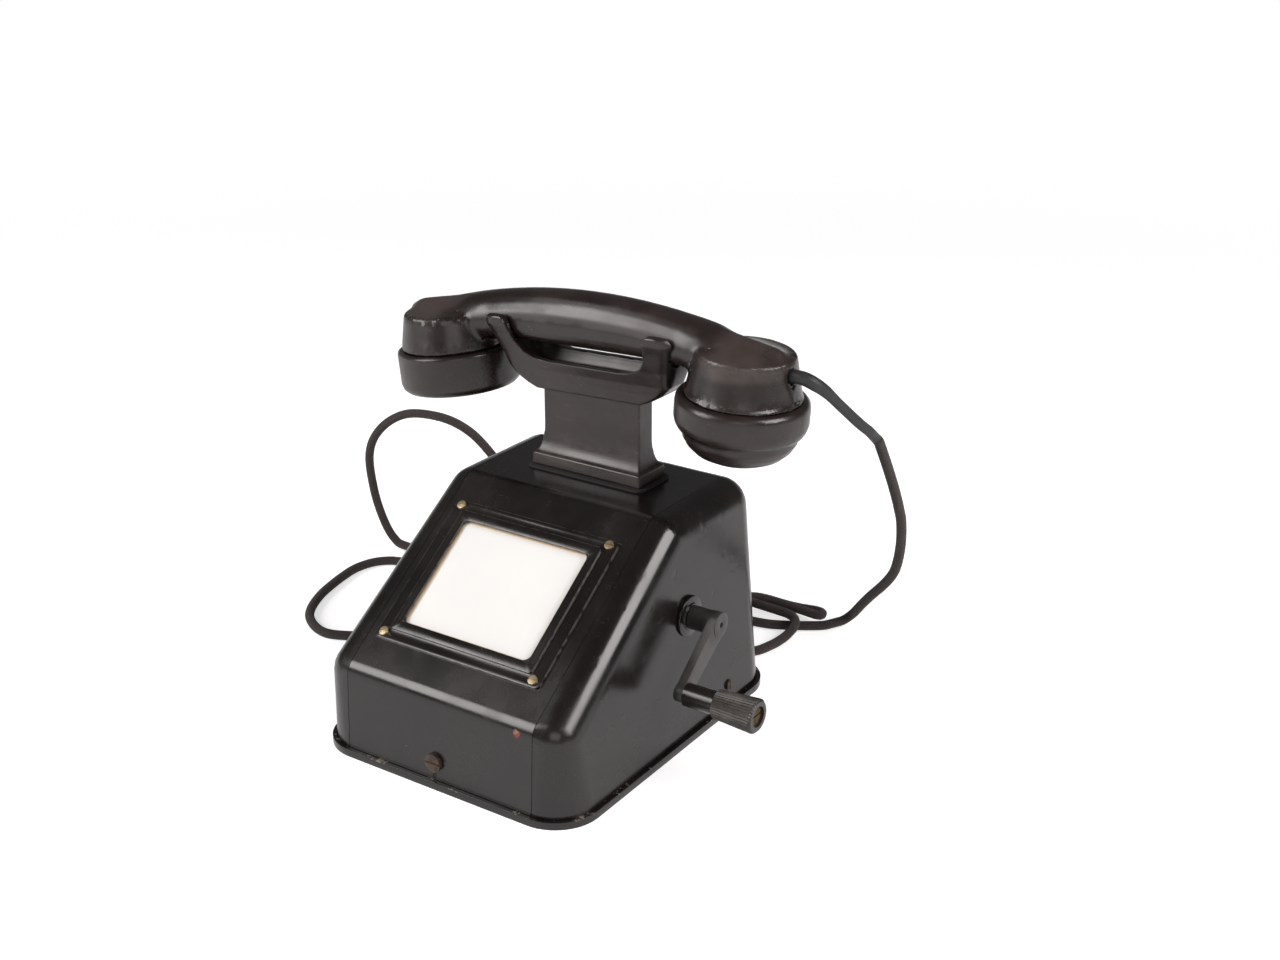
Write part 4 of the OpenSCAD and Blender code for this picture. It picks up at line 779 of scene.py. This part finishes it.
def braided_textile():
    """Cotton braid: pairs of dark threads that cross, with worn reddish threads and fuzz, and painted shade
    between the threads.
    """
    p = Paint("braided_textile")
    uv = p.node("TexCoord", {}, output="UV")
    u, v, _ = p.xyz(uv)
    turn = u * (2 * pi * THREADS)
    run = v * (2 * pi * THREADS / LAY)
    one = (turn + run).wave()
    other = (turn - run).wave()
    over = (turn.wave() * run.wave()).above(-0.15, 0.15)
    weave = one.size() * over + other.size() * (1 - over)
    thread = p.noise(2600, 2, 0.7)
    patch = p.noise(150, 4, 0.7)
    # Painted shade: the colour darkens between the threads and is lightest on their crests
    colour = p.mix(weave.above(0.1, 0.9), (0.012, 0.0075, 0.0075), (0.046, 0.031, 0.030))
    colour = p.mix(patch.above(0.5, 0.72) * 0.6, colour, (0.060, 0.034, 0.031))
    colour = p.mix(thread.above(0.62, 0.75) * 0.45, colour, (0.11, 0.082, 0.075))
    height = weave * 0.7 + thread * 0.5
    return p.done(colour, 0.82 + patch * 0.1, 0.0, p.bump(height, 0.0005, 0.9), Sheen_Weight=0.12,
                  Sheen_Roughness=0.5)


enamel = stoved_enamel()
bakelite = moulded_bakelite()
inner_bakelite = moulded_bakelite("plain_bakelite", 0.3)
arm_metal = worn_metal()
steel = plain_steel()
brass = aged_brass()
screw_metal = rusted_screw()
knurled = dusty_knurling()
dull_brass = dark_brass()
magnet = cast_magnet()
card = blank_card()
celluloid = clear_celluloid()
board = pressed_board()
rubber = smooth_rubber()
braid = braided_textile()
bell_wire = wound_wire("bell_winding", (0.40, 0.17, 0.07), (0.10, 0.035, 0.015))
speech_wire = wound_wire("speech_winding", (0.22, 0.12, 0.05), (0.05, 0.025, 0.012))


def wear(material, *pieces):
    """Puts one finish on pieces: objects, or names of CAD nodes, which share it with their stand-ins."""
    for piece in pieces:
        found = [nodes[piece], copies.get(piece)] if isinstance(piece, str) else [piece]
        for obj in filter(None, found):
            obj.data.materials.clear()
            obj.data.materials.append(material)


wear(enamel, "base_plate", "case_centre_panel", "case_left_shell", "case_right_shell", "card_frame",
     "crank_bush")
wear(bakelite, "pedestal", "cradle", "handset_handle", "receiver_cap", "transmitter_cap")
wear(knurled, "crank_grip")
wear(inner_bakelite, "switch_block", "terminal_block", "line_plug")
wear(arm_metal, "crank_arm")
wear(screw_metal, "front_screw", "side_screws")
wear(steel, "cradle_plunger", "cradle_spring", "receiver_capsule", "transmitter_capsule", "crank_shaft",
     "crank_pin", "magneto_frame", "magneto_armature", "armature_pinion", "ringer_yoke", "capacitor")
wear(dull_brass, "grip_screw")
wear(brass, "frame_screws", "switch_blades", "crank_gear", "gongs", "clapper", "plug_pins")
wear(magnet, "magneto_magnets")
wear(bell_wire, "ringer_coils")
wear(speech_wire, "induction_coil")
wear(card, "name_card")
wear(celluloid, "card_window")
wear(board, "pedestal_gasket")
wear(rubber, "cord_glands", "cord_sleeve", sleeve)
wear(braid, "handset_cord_drop", "handset_cord_loops", "line_cord_arch", "line_cord_loop", "line_coil",
     handset_cord, line_cord)

# Light, floor and backdrop

WARM = (1.0, 0.965, 0.95)
# How brightly the table near the object glows in reflections and to the camera
FLOOR_GLOW = 0.42
FLOOR_SEEN = 0.60
# The distances from the middle between which the table turns to plain white
FLOOR_NEAR, FLOOR_FAR = 0.35, 1.5
FLOOR_SIZE = 60


def lamp(name, place, aim, width, height, power):
    """A warm white rectangle of light at a place, aimed at a point."""
    data = bpy.data.lights.new(name, "AREA")
    data.shape = "RECTANGLE"
    data.size, data.size_y = width, height
    data.energy = power
    data.color = WARM
    obj = bpy.data.objects.new(name, data)
    scene.collection.objects.link(obj)
    obj.location = place
    obj.rotation_euler = (Vector(aim) - Vector(place)).to_track_quat("-Z", "Y").to_euler()


lamp("right_light", (1.30, 0.10, 1.00), (0, 0, 0.1), 0.85, 0.75, 20)
lamp("left_light", (-0.95, -1.10, 1.00), (0, 0, 0.15), 0.75, 1.1, 23)
lamp("camera_light", (0.85, -1.35, 0.75), (0, 0, 0.1), 1.0, 0.7, 4)

# The room round the white table is dim, so only the lamps and the table show in the gloss. To the camera it
# is white.
world = bpy.data.worlds.new("studio")
scene.world = world
world.use_nodes = True
tree = world.node_tree
back = tree.nodes["Background"]
back.inputs["Color"].default_value = (1, 1, 1, 1)
ways = tree.nodes.new("ShaderNodeTexCoord")
split = tree.nodes.new("ShaderNodeSeparateXYZ")
fade = tree.nodes.new("ShaderNodeMapRange")
fade.interpolation_type = "SMOOTHSTEP"
for key, value in (("From Min", 0.0), ("From Max", 0.2), ("To Min", 0.26), ("To Max", 0.12)):
    fade.inputs[key].default_value = value
rays = tree.nodes.new("ShaderNodeLightPath")
shown = tree.nodes.new("ShaderNodeMath")
shown.operation = "MAXIMUM"
for start, end in (
        (ways.outputs["Generated"], split.inputs[0]),
        (split.outputs["Z"], fade.inputs["Value"]),
        (fade.outputs["Result"], shown.inputs[0]),
        (rays.outputs["Is Camera Ray"], shown.inputs[1]),
        (shown.outputs[0], back.inputs["Strength"])):
    tree.links.new(start, end)


def pale_floor():
    """White to the camera and in reflections, plain pale grey as a source of light, with shadows kept."""
    p = Paint("pale_floor")
    camera_ray = p.node("LightPath", {}, output="Is Camera Ray")
    rays = camera_ray.socket.node
    seen = camera_ray.most(Level(p, rays.outputs["Is Glossy Ray"])).most(
        Level(p, rays.outputs["Is Transmission Ray"]))
    x, y, _ = p.xyz()
    far = ((x * x + y * y) ** 0.5).above(FLOOR_NEAR, FLOOR_FAR)
    near = FLOOR_GLOW + camera_ray * (FLOOR_SEEN - FLOOR_GLOW)
    # Only the table's own light is seen far away, so it takes over there as the pale grey ends
    glow = p.mix(seen * (far + (1 - far) * near), grey(0.0), grey(1.0))
    p.fill(p.shader.inputs["Emission Color"], glow)
    return p.done(p.mix(seen * far, grey(0.80), grey(0.0)), 0.9, Emission_Strength=1.0,
                  Specular_IOR_Level=0.0)


bpy.ops.object.select_all(action="DESELECT")
bpy.ops.mesh.primitive_plane_add(size=FLOOR_SIZE, location=(0, 0, 0))
floor = bpy.context.object
floor.name = "floor"
floor.data.materials.append(pale_floor())
